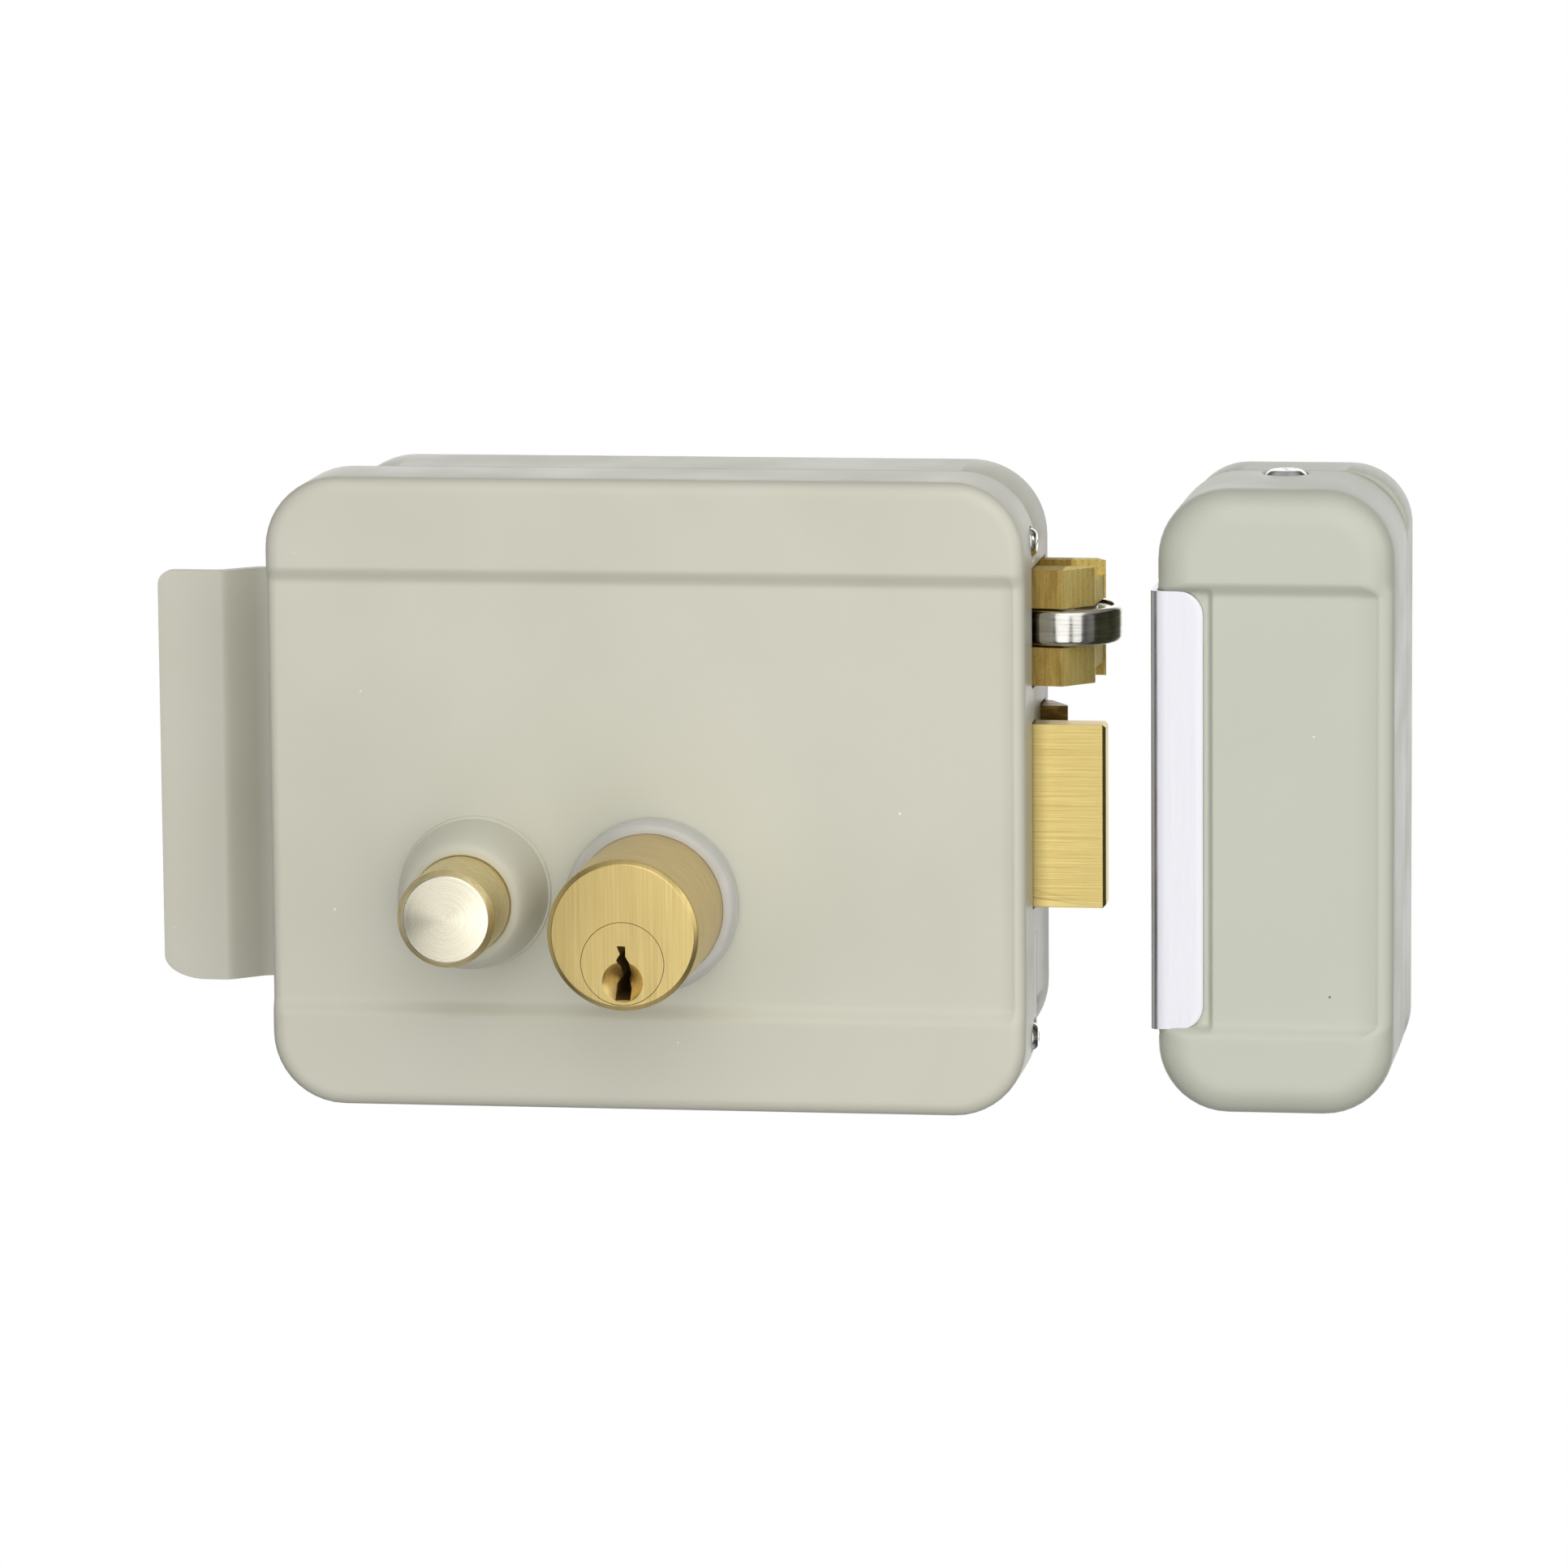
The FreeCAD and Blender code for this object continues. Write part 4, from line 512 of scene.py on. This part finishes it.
def bearing_ring():
    """Outer ring with rounded shoulders and a thin shield pressed into each face."""
    x, y, z = (middle("roller_outer_ring", axis) for axis in range(3))
    outer = span("roller_outer_ring", 0)[1] - x
    half = span("roller_outer_ring", 2)[1] - z
    profile = []
    for side in (1, -1):
        shoulder = [(RACE_R, half - 0.5), (RACE_R, half - 0.12), (RACE_R + 0.12, half), (outer - 0.95, half),
                    (outer - 0.42, half - 0.16), (outer - 0.12, half - 0.5), (outer, half - 1.0)]
        profile += [(r, side * h) for r, h in (shoulder if side > 0 else reversed(shoulder))]
    ring = lathe("ring", profile, to_vertical(x, y, z, 1), closed=True, segments=160, sharp=50)
    parts = [ring]
    for side in (1, -1):
        disc = rounded([(SHIELD_R[0], half - 0.75, 0), (4.3, half - 0.4, 0.2), (7.4, half - 0.4, 0.2),
                        (SHIELD_R[1], half - 0.7, 0), (SHIELD_R[1], half - 0.95, 0),
                        (SHIELD_R[0], half - 0.95, 0)], closed=True)
        parts.append(lathe("shield", [(r, side * h) for r, h in disc], to_vertical(x, y, z, 1), closed=True,
                           segments=120, sharp=50))
    return merge("roller_ring_shielded", parts)


# ---------------------------------------------------------------- keeper
keeper_x, keeper_z = span("keeper_cover", 0), span("keeper_cover", 2)
keeper_front, keeper_seam = span("keeper_cover", 1)
KEEPER_CREASES = (-36.0, 36.4)
KEEPER_CREASE_WIDTH = 2.6
KEEPER_CORNER = 11.5
KEEPER_REACH = 6.6
KEEPER_SHEET = 1.5
KEEPER_FILLET = (2.4, 5.4)
KEEPER_LIP = 0.2
STEP_X, STEP_WIDTH, STEP_DEPTH = 94.1, 0.9, 1.0
STEP_ENDS, STEP_END_WIDTH = (-35.7, 36.1), 1.4
MOUTH_X, MOUTH_Z, MOUTH_DEPTH = (84, 88.6), (-37.6, 37.6), 4.0
KEEPER_DIMPLE_R, KEEPER_DIMPLE_DEPTH = 3.65, 0.9


def keeper_band(z):
    return proud(z, KEEPER_CREASES, KEEPER_CREASE_WIDTH)


def keeper_face(x, z):
    step = smooth((STEP_X - x) / STEP_WIDTH + 0.5) * (1 - proud(z, STEP_ENDS, STEP_END_WIDTH))
    return keeper_front + PRESS * (1 - keeper_band(z)) + STEP_DEPTH * step


def keeper_cover():
    """Drawn shell with a step under the strip, the mouth cut in its left wall and a dimple at each end."""
    inner_left, inner_right = keeper_x[0] + KEEPER_REACH, keeper_x[1] - KEEPER_REACH
    stops = [inner_left + 0.6] + [STEP_X - STEP_WIDTH + 0.15 * i for i in range(13)]
    stops += [STEP_X + 1.5 + 1.3 * i for i in range(16)]
    shares = [(stop - inner_left) / (inner_right - inner_left) for stop in stops if stop > inner_left + 0.1]
    columns = sorted({round(min(share, 1.0), 5) for share in [0.0, *shares, 1.0]})
    shell = pressed_shell("keeper_shell", keeper_x, keeper_z, KEEPER_CORNER, KEEPER_REACH, keeper_seam,
                          keeper_face, lambda z: mix(*KEEPER_FILLET, keeper_band(z)),
                          lambda z: KEEPER_LIP * (1 - keeper_band(z)),
                          columns, band_levels(BAND_EDGE), KEEPER_SHEET)
    screw_x, screw_y = middle("keeper_screws", 0), middle("keeper_screws", 1)
    cutters = [block("cut_mouth", MOUTH_X, (keeper_front + MOUTH_DEPTH, keeper_seam + 1), MOUTH_Z)]
    seats = []
    for level, way in ((keeper_z[1], 1), (keeper_z[0], -1)):
        radius, depth = KEEPER_DIMPLE_R, KEEPER_DIMPLE_DEPTH
        profile = [(0, -3), (radius, -3), (radius, -0.45), (3.8, -0.15), (4.3, 0.06), (4.9, 0.3), (4.9, 2),
                   (0, 2)]
        place = to_vertical(screw_x, screw_y, level, way)
        cutters.append(lathe("cut_dimple", profile, place, segments=72))
        hole, rim, back = KEEPER_SHANK[0], 4.2, -depth - SEAT_SHEET
        washer = [(hole, -depth), (rim, -depth), (rim, back), (hole, back)]
        seats.append(lathe("seat", washer, place, closed=True, segments=72))
    carve(shell, cutters, sharp=40)
    return merge("keeper_cover_pressed", [shell] + seats)


STRIP_SHEET, STRIP_EDGE = 1.0, 0.22
STRIP_CORNER = 4.0


def strike_strip():
    """Stainless strip bent round the mouth's edge, its free corners rounded."""
    left, right = span("strike_strip", 0)
    front, back = span("strike_strip", 1)
    low, high = span("strike_strip", 2)
    radius = STRIP_CORNER
    rows = []
    for i in range(9, 0, -1):
        t = math.radians(10 * i)
        rows.append((low + radius * (1 - math.sin(t)), right - radius * (1 - math.cos(t))))
    rows += [(mix(low + radius, high - radius, i / 12), right) for i in range(13)]
    for i in range(1, 10):
        t = math.radians(10 * i)
        rows.append((high - radius * (1 - math.sin(t)), right - radius * (1 - math.cos(t))))
    bend = rounded([(left + 2.6, front, 0), (left, front, 1.7), (left, back, 0)])
    verts = []
    across = 5
    for z, edge in rows:
        verts += [(px, py, z) for px, py in reversed(bend)]
        verts += [(mix(bend[0][0], edge, (k + 1) / across), front, z) for k in range(across)]
    return bent_sheet("strike_strip_bent", verts, len(bend) + across, STRIP_SHEET, STRIP_EDGE, 3)


# ---------------------------------------------------------------- materials
def tone(red, green, blue):
    """Linear colour of an sRGB one given in 0 to 255."""
    out = []
    for value in (red, green, blue):
        v = value / 255
        out.append(v / 12.92 if v <= 0.04045 else ((v + 0.055) / 1.055) ** 2.4)
    return (*out, 1.0)


class Finish:
    """A procedural material built round one shader."""

    def __init__(self, name, metallic=0.0, **constants):
        self.material = bpy.data.materials.new(name)
        self.material.use_nodes = True
        self.tree = self.material.node_tree
        self.shader = self.tree.nodes["Principled BSDF"]
        self.shader.inputs["Metallic"].default_value = metallic
        for socket, value in constants.items():
            self.shader.inputs[socket.replace("_", " ")].default_value = value
        self.place = self.node("ShaderNodeTexCoord").outputs["Object"]

    def node(self, kind, **settings):
        made = self.tree.nodes.new(kind)
        for key, value in settings.items():
            setattr(made, key, value)
        return made

    def link(self, source, target):
        self.tree.links.new(source, target)

    def stretched(self, scale, source=None):
        mapping = self.node("ShaderNodeMapping")
        mapping.inputs["Scale"].default_value = scale
        self.link(source or self.place, mapping.inputs["Vector"])
        return mapping.outputs["Vector"]

    def noise(self, scale, detail=3.0, rough=0.55, at=None):
        made = self.node("ShaderNodeTexNoise")
        made.inputs["Scale"].default_value = scale
        made.inputs["Detail"].default_value = detail
        made.inputs["Roughness"].default_value = rough
        self.link(at or self.place, made.inputs["Vector"])
        return made.outputs["Fac"]

    def ranged(self, value, low, high, to_low=0.0, to_high=1.0):
        made = self.node("ShaderNodeMapRange")
        made.interpolation_type = "SMOOTHSTEP"
        ends = {"From Min": low, "From Max": high, "To Min": to_low, "To Max": to_high}
        for socket, number in ends.items():
            made.inputs[socket].default_value = number
        self.link(value, made.inputs["Value"])
        return made.outputs["Result"]

    def blend(self, share, first, second):
        made = self.node("ShaderNodeMix", data_type="RGBA")
        for socket, value in ((made.inputs[6], first), (made.inputs[7], second)):
            if isinstance(value, tuple):
                socket.default_value = value
            else:
                self.link(value, socket)
        self.link(share, made.inputs["Factor"])
        return made.outputs[2]

    def math(self, operation, first, second):
        made = self.node("ShaderNodeMath", operation=operation)
        for socket, value in zip(made.inputs, (first, second)):
            if isinstance(value, (int, float)):
                socket.default_value = value
            else:
                self.link(value, socket)
        return made.outputs["Value"]

    def specks(self, scale, size, share):
        """Scattered dots: 1 inside a dot, with only some of the cells holding one."""
        cells = self.node("ShaderNodeTexVoronoi")
        cells.inputs["Scale"].default_value = scale
        self.link(self.place, cells.inputs["Vector"])
        inside = self.ranged(cells.outputs["Distance"], size * 0.6, size, 1.0, 0.0)
        pick = self.node("ShaderNodeSeparateColor")
        self.link(cells.outputs["Color"], pick.inputs["Color"])
        chosen = self.math("LESS_THAN", pick.outputs[0], share)
        return self.math("MULTIPLY", inside, chosen)

    def between(self, share, first, second):
        made = self.node("ShaderNodeMix")
        for index, value in ((0, share), (2, first), (3, second)):
            self.link(value, made.inputs[index])
        return made.outputs[0]

    def beyond_front(self, y):
        """1 in front of a depth given in millimetres, 0 behind it."""
        parts = self.node("ShaderNodeSeparateXYZ")
        self.link(self.place, parts.inputs[0])
        return self.ranged(parts.outputs[1], (y - 0.1) * MM, (y + 0.1) * MM, 1.0, 0.0)

    def colour(self, source):
        self.link(source, self.shader.inputs["Base Color"])

    def roughness(self, source):
        self.link(source, self.shader.inputs["Roughness"])

    def bump(self, height, strength, distance):
        made = self.node("ShaderNodeBump")
        made.inputs["Strength"].default_value = strength
        made.inputs["Distance"].default_value = distance
        self.link(height, made.inputs["Height"])
        self.link(made.outputs["Normal"], self.shader.inputs["Normal"])


def paint():
    """Pale satin enamel with a faint orange peel and a few specks, slightly greener on the keeper."""
    f = Finish("paint", IOR=1.5)
    broad = f.ranged(f.noise(28, 2), 0.3, 0.7)
    parts = f.node("ShaderNodeSeparateXYZ")
    f.link(f.place, parts.inputs[0])
    keeper = f.ranged(parts.outputs[0], 0.076, 0.078)
    base = f.blend(keeper, f.blend(broad, tone(212, 211, 194), tone(217, 215, 199)), tone(206, 208, 192))
    pale = f.blend(f.specks(190, 0.055, 0.10), base, tone(246, 245, 236))
    f.colour(f.blend(f.specks(150, 0.045, 0.035), pale, tone(122, 118, 96)))
    f.roughness(f.ranged(f.noise(60, 3), 0.3, 0.7, 0.34, 0.44))
    f.bump(f.noise(620, 2, 0.4), 0.10, 0.00006)
    return f.material


def grained_brass(name, light, dark, grain, rough, depth):
    """Machined brass; grain is the stretch of the noise along each axis."""
    f = Finish(name, metallic=1.0)
    lines = f.noise(1.0, 4, 0.65, f.stretched(grain))
    f.colour(f.blend(f.ranged(lines, 0.36, 0.64), dark, light))
    f.roughness(f.ranged(lines, 0.35, 0.65, rough[1], rough[0]))
    f.bump(lines, depth, 0.00004)
    return f.material


def satin_brass():
    """Key cylinder: upright hairlines on its face, fine turning lines round its side."""
    f = Finish("satin_brass", metallic=1.0)
    face = f.beyond_front(span("cylinder_body", 1)[0] + 0.9)
    hairs = f.noise(1.0, 4, 0.7, f.stretched((4200, 200, 50)))
    turned = f.noise(1.0, 4, 0.7, f.stretched((140, 3800, 140)))
    lines = f.between(face, turned, hairs)
    base = f.blend(f.ranged(lines, 0.25, 0.75), tone(210, 185, 120), tone(226, 203, 138))
    side = f.blend(f.ranged(lines, 0.3, 0.7), tone(210, 186, 130), tone(228, 205, 150))
    f.colour(f.blend(face, side, base))
    f.roughness(f.ranged(lines, 0.3, 0.7, 0.42, 0.34))
    f.bump(lines, 0.12, 0.00004)
    return f.material


RIDGE_X = 67.9 * MM


def bolt_brass():
    """Deadbolt: brushed along its throw. Latch above it: upright grain with small dark pits.

    The latch's nose, past the ridge, is a lighter brass than its shank: a stand-in for a reflection.
    """
    f = Finish("bolt_brass", metallic=1.0)
    parts = f.node("ShaderNodeSeparateXYZ")
    f.link(f.place, parts.inputs[0])
    latch = f.ranged(parts.outputs[2], 0.0145, 0.0150)
    along = f.noise(1.0, 5, 0.75, f.stretched((40, 5000, 5000)))
    upright = f.noise(1.0, 4, 0.7, f.stretched((1300, 1300, 90)))
    lines = f.between(latch, along, upright)
    bolt = f.blend(f.ranged(lines, 0.3, 0.65), tone(196, 172, 104), tone(218, 197, 130))
    nose = f.blend(f.ranged(lines, 0.3, 0.7), tone(232, 206, 126), tone(253, 240, 168))
    shank = f.blend(f.ranged(lines, 0.3, 0.7), tone(178, 152, 82), tone(206, 180, 108))
    nose = f.blend(f.ranged(parts.outputs[0], RIDGE_X - 0.0003, RIDGE_X + 0.0003), shank, nose)
    base = f.blend(latch, bolt, nose)
    pits = f.math("MULTIPLY", f.specks(3200, 0.26, 0.32), latch)
    scratches = f.ranged(along, 0.62, 0.70, 0.0, 0.45)
    marked = f.blend(f.math("MULTIPLY", scratches, f.math("SUBTRACT", 1.0, latch)), base, tone(120, 96, 44))
    f.colour(f.blend(pits, marked, tone(104, 82, 40)))
    f.roughness(f.between(latch, f.ranged(lines, 0.35, 0.65, 0.40, 0.32),
                          f.ranged(lines, 0.35, 0.65, 0.78, 0.68)))
    f.bump(lines, 0.08, 0.00004)
    return f.material


def spun_brass():
    """Turned button: fine rings on its face that catch the light in fans, plain turning lines on its side."""
    f = Finish("spun_brass", metallic=1.0, Anisotropic=0.75)
    x, z = middle("push_button", 0) * MM, middle("push_button", 2) * MM
    shift = f.node("ShaderNodeVectorMath", operation="SUBTRACT")
    shift.inputs[1].default_value = (x, 0.0, z)
    f.link(f.place, shift.inputs[0])
    flat = f.node("ShaderNodeVectorMath", operation="MULTIPLY")
    flat.inputs[1].default_value = (1.0, 0.0, 1.0)
    f.link(shift.outputs[0], flat.inputs[0])
    reach = f.node("ShaderNodeVectorMath", operation="LENGTH")
    f.link(flat.outputs[0], reach.inputs[0])
    ring = f.node("ShaderNodeCombineXYZ")
    f.link(reach.outputs["Value"], ring.inputs[0])
    rings = f.noise(3000, 3, 0.6, ring.outputs[0])
    around = f.noise(1.0, 4, 0.7, f.stretched((500, 3600, 500)))
    face = f.beyond_front(span("push_button", 1)[0] + 0.15)
    side = f.blend(f.ranged(around, 0.3, 0.7), tone(232, 212, 150), tone(252, 238, 190))
    top = f.blend(f.ranged(rings, 0.3, 0.7), tone(248, 240, 214), tone(253, 247, 226))
    f.colour(f.blend(face, side, top))
    f.roughness(f.between(face, f.ranged(around, 0.3, 0.7, 0.56, 0.46),
                          f.ranged(rings, 0.3, 0.7, 0.30, 0.24)))
    f.bump(f.between(face, around, rings), 0.03, 0.00002)
    tangent = f.node("ShaderNodeTangent", direction_type="RADIAL", axis="Y")
    f.link(tangent.outputs[0], f.shader.inputs["Tangent"])
    return f.material


def steel(name, light, dark, rough, grain=(300, 300, 300), depth=0.05):
    f = Finish(name, metallic=1.0)
    lines = f.noise(1.0, 4, 0.6, f.stretched(grain))
    f.colour(f.blend(f.ranged(lines, 0.35, 0.65), dark, light))
    f.roughness(f.ranged(lines, 0.3, 0.7, rough[0], rough[1]))
    f.bump(lines, depth, 0.00003)
    return f.material


def clear_ring():
    f = Finish("clear_ring", IOR=1.49)
    cloud = f.ranged(f.noise(120, 3), 0.3, 0.7)
    f.colour(f.blend(cloud, tone(214, 213, 207), tone(223, 222, 216)))
    f.roughness(f.ranged(f.noise(300, 2), 0.3, 0.7, 0.16, 0.24))
    f.shader.inputs["Transmission Weight"].default_value = 0.15
    f.bump(f.noise(400, 2), 0.04, 0.00005)
    return f.material


def plastic(name, light, dark, rough):
    f = Finish(name, IOR=1.5)
    f.colour(f.blend(f.noise(240, 3), dark, light))
    f.roughness(f.ranged(f.noise(500, 2), 0.3, 0.7, rough[0], rough[1]))
    f.bump(f.noise(1500, 2), 0.12, 0.00004)
    return f.material


def copper():
    """Close-wound enamelled wire, its turns one wire apart along the coil."""
    f = Finish("copper", metallic=1.0)
    wave = f.node("ShaderNodeTexWave", bands_direction="X")
    wave.inputs["Scale"].default_value = 600
    wave.inputs["Distortion"].default_value = 0.6
    f.link(f.place, wave.inputs["Vector"])
    f.colour(f.blend(wave.outputs["Fac"], tone(120, 52, 26), tone(206, 124, 78)))
    f.roughness(f.ranged(f.noise(200, 2), 0.3, 0.7, 0.25, 0.4))
    f.bump(wave.outputs["Fac"], 0.6, 0.0002)
    return f.material


FINISHES = {
    "paint": paint(),
    "satin_brass": satin_brass(),
    "spun_brass": spun_brass(),
    "bolt_brass": bolt_brass(),
    "aged_brass": grained_brass("aged_brass", tone(140, 116, 66), tone(104, 82, 42), (200, 900, 900),
                                (0.35, 0.5), 0.15),
    "gear_brass": grained_brass("gear_brass", tone(214, 186, 112), tone(170, 140, 72), (500, 500, 500),
                                (0.25, 0.4), 0.1),
    "clear_ring": clear_ring(),
    "bearing_steel": steel("bearing_steel", tone(214, 212, 206), tone(188, 186, 178), (0.13, 0.2),
                           (160, 160, 2600), 0.04),
    "screw_steel": steel("screw_steel", tone(232, 231, 228), tone(205, 204, 200), (0.12, 0.22)),
    "stainless": steel("stainless", tone(222, 222, 227), tone(212, 212, 217), (0.30, 0.38),
                       (1500, 200, 70), 0.04),
    "zinc_steel": steel("zinc_steel", tone(206, 208, 206), tone(168, 170, 168), (0.32, 0.5),
                        (400, 300, 400), 0.08),
    "spring_steel": steel("spring_steel", tone(150, 150, 152), tone(104, 104, 108), (0.25, 0.4)),
    "bobbin_plastic": plastic("bobbin_plastic", tone(48, 48, 50), tone(30, 30, 32), (0.42, 0.6)),
    "copper": copper(),
    "wire_sleeve": plastic("wire_sleeve", tone(196, 40, 34), tone(160, 24, 22), (0.35, 0.5)),
}


def finish_mesh(obj, slot):
    obj.data.materials.clear()
    obj.data.materials.append(FINISHES[slot])


# ---------------------------------------------------------------- pieces on the frame
RECORD_SLOTS = {part["node"]: part["material_slot"] for part in frame["record"]["subparts"]}
NODE_BODY = {node: body for body, nodes in frame["record"]["behaviour"]["bodies"].items() for node in nodes}

for node, obj in frame["nodes"].items():
    finish_mesh(obj, RECORD_SLOTS[node])

DETAILED = {
    "front_cover": front_cover, "cover_screws": cover_screws, "finger_pull": finger_pull,
    "button_collar": button_collar, "push_button": push_button, "cylinder_body": cylinder_body,
    "cylinder_ring": cylinder_ring, "roller_outer_ring": bearing_ring, "keeper_cover": keeper_cover,
    "keeper_screws": keeper_screws, "strike_strip": strike_strip,
}
for node, make in DETAILED.items():
    made = make()
    finish_mesh(made, RECORD_SLOTS[node])
    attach(made, NODE_BODY[node])
    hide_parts(node)

# CAD nodes shown as they are, with the width of the small bevel on their edges.
EDGE_WIDTHS = {"latch_bolt": 0.14, "deadbolt": 0.12, "trigger_bolt": 0.12, "cylinder_plug": 0.05,
               "rear_tray": 0.2, "keeper_base": 0.2}
WELD_REACH = 0.002
for node, width in EDGE_WIDTHS.items():
    obj = frame["nodes"][node]
    weld = obj.modifiers.new("weld", "WELD")
    weld.merge_threshold = WELD_REACH * MM
    edge = obj.modifiers.new("edge", "BEVEL")
    edge.width = width * MM
    edge.segments = 2
    edge.limit_method = "ANGLE"
    edge.angle_limit = math.radians(40)
    edge.harden_normals = True

# ---------------------------------------------------------------- stage, light and camera
scene = bpy.context.scene
scene.view_settings.view_transform = "Standard"


def glow(name, radiance):
    """Emitting finish for the stage; radiance is a number."""
    f = Finish(name, Roughness=1.0)
    f.shader.inputs["Base Color"].default_value = (0.0, 0.0, 0.0, 1.0)
    f.shader.inputs["Specular IOR Level"].default_value = 0.0
    f.shader.inputs["Emission Color"].default_value = (1.0, 1.0, 1.0, 1.0)
    f.shader.inputs["Emission Strength"].default_value = radiance
    return f


def only_for(obj, *rays):
    for ray in ("camera", "diffuse", "glossy", "transmission", "volume_scatter", "shadow"):
        setattr(obj, "visible_" + ray, ray in rays)


def dome(name, radius, radiance, *rays):
    """Sphere round the whole set, seen by the given kinds of ray only."""
    angles = [math.radians(degrees) for degrees in range(0, 181, 5)]
    half = [(radius * math.sin(angle), -radius * math.cos(angle)) for angle in angles]
    half[0], half[-1] = (0, -radius), (0, radius)
    shell = lathe(name, half, Matrix(), segments=72)
    finish = glow(name, radiance)
    shell.data.materials.append(finish.material)
    only_for(shell, *rays)
    return finish


FLOOR_R, FLOOR_Z, FLOOR_SHEET = 5800, -1500, 20
SURROUND_R, BACKDROP_R = 5900, 6000
floor = lathe("floor", [(0, FLOOR_Z), (FLOOR_R, FLOOR_Z), (FLOOR_R, FLOOR_Z - FLOOR_SHEET),
                        (0, FLOOR_Z - FLOOR_SHEET)], Matrix(), segments=72)
floor.data.materials.append(glow("pale_floor", 1.0).material)
only_for(floor, "camera")
dome("backdrop", BACKDROP_R, 1.0, "camera")

# What glossy surfaces reflect: brightest behind the object, fainter above it, below it and on its left.
surround = dome("surround", SURROUND_R, 0.0, "glossy", "transmission")
parts = surround.node("ShaderNodeSeparateXYZ")
surround.link(surround.place, parts.inputs[0])
behind = surround.ranged(parts.outputs[1], 4.1, 5.5, 0.05, 1.45)
above = surround.ranged(parts.outputs[2], 3.2, 5.4, 0.0, 0.4)
leftward = surround.ranged(parts.outputs[0], -5.6, -4.2, 0.45, 0.0)
below = surround.ranged(parts.outputs[2], -5.4, -3.8, 0.4, 0.0)
around = surround.math("ADD", surround.math("ADD", behind, above), surround.math("ADD", leftward, below))
surround.link(around, surround.shader.inputs["Emission Strength"])

WORLD_STRENGTH = 0.15
world = bpy.data.worlds.new("studio")
scene.world = world
world.use_nodes = True
world.node_tree.nodes["Background"].inputs["Color"].default_value = (1.0, 1.0, 1.0, 1.0)
world.node_tree.nodes["Background"].inputs["Strength"].default_value = WORLD_STRENGTH
world.cycles_visibility.glossy = False


LIGHT_TARGET = Vector((0.03, -0.03, 0.0))


def softbox(name, azimuth, elevation, distance, width, height, radiance):
    """Rectangular light that looks at the object; its radiance is that of its face."""
    a, e = math.radians(azimuth), math.radians(elevation)
    away = Vector((math.sin(a) * math.cos(e), -math.cos(a) * math.cos(e), math.sin(e)))
    light = bpy.data.lights.new(name, "AREA")
    light.shape = "RECTANGLE"
    light.size, light.size_y = width, height
    light.energy = radiance * math.pi * width * height
    obj = bpy.data.objects.new(name, light)
    scene.collection.objects.link(obj)
    obj.location = LIGHT_TARGET + away * distance
    obj.rotation_mode = "QUATERNION"
    obj.rotation_quaternion = away.to_track_quat("Z", "Y")
    obj.visible_camera = False
    return obj


# Two tall boxes light the front. The fill and the back light stay out of reflections, and the edge light is
# seen in reflections only.
softbox("front_left", 0.5, 13.0, 1.3, 0.68, 3.2, 1.6)
softbox("front_right", 35.5, 14.0, 1.3, 0.78, 3.2, 1.36)
softbox("right", 66.0, 12.0, 1.3, 0.62, 1.6, 0.4)
softbox("right_edge", 80.0, 18.0, 1.3, 0.42, 1.0, 1.9).visible_diffuse = False
softbox("fill", -38.0, 18.0, 1.6, 1.6, 1.6, 0.55).visible_glossy = False
softbox("behind", 205.0, 6.0, 1.8, 1.6, 1.6, 1.3).visible_glossy = False

# The photograph's viewing angle: degrees, metres, and the lens in millimetres of a 36 mm sensor.
VIEW_AZIMUTH, VIEW_ELEVATION, VIEW_ROLL = 8.45, 8.82, -0.47
VIEW_TARGET, VIEW_DISTANCE = Vector((0.02346, -0.036, 0.00268)), 1.4
VIEW_LENS = 196.14
camera_data = bpy.data.cameras.new("camera")
camera = bpy.data.objects.new("camera", camera_data)
scene.collection.objects.link(camera)
scene.camera = camera
azimuth, elevation, roll = (math.radians(angle) for angle in (VIEW_AZIMUTH, VIEW_ELEVATION, VIEW_ROLL))
back = Vector((math.sin(azimuth) * math.cos(elevation), -math.cos(azimuth) * math.cos(elevation),
               math.sin(elevation)))
right = Vector((math.cos(azimuth), math.sin(azimuth), 0.0))
up = back.cross(right)
side = right * math.cos(roll) + up * math.sin(roll)
top = up * math.cos(roll) - right * math.sin(roll)
spot = VIEW_TARGET + back * VIEW_DISTANCE
camera.matrix_world = Matrix(((side.x, top.x, back.x, spot.x), (side.y, top.y, back.y, spot.y),
                              (side.z, top.z, back.z, spot.z), (0, 0, 0, 1)))
camera_data.sensor_width = 36.0
camera_data.lens = VIEW_LENS
camera_data.clip_start, camera_data.clip_end = 0.05, 100.0
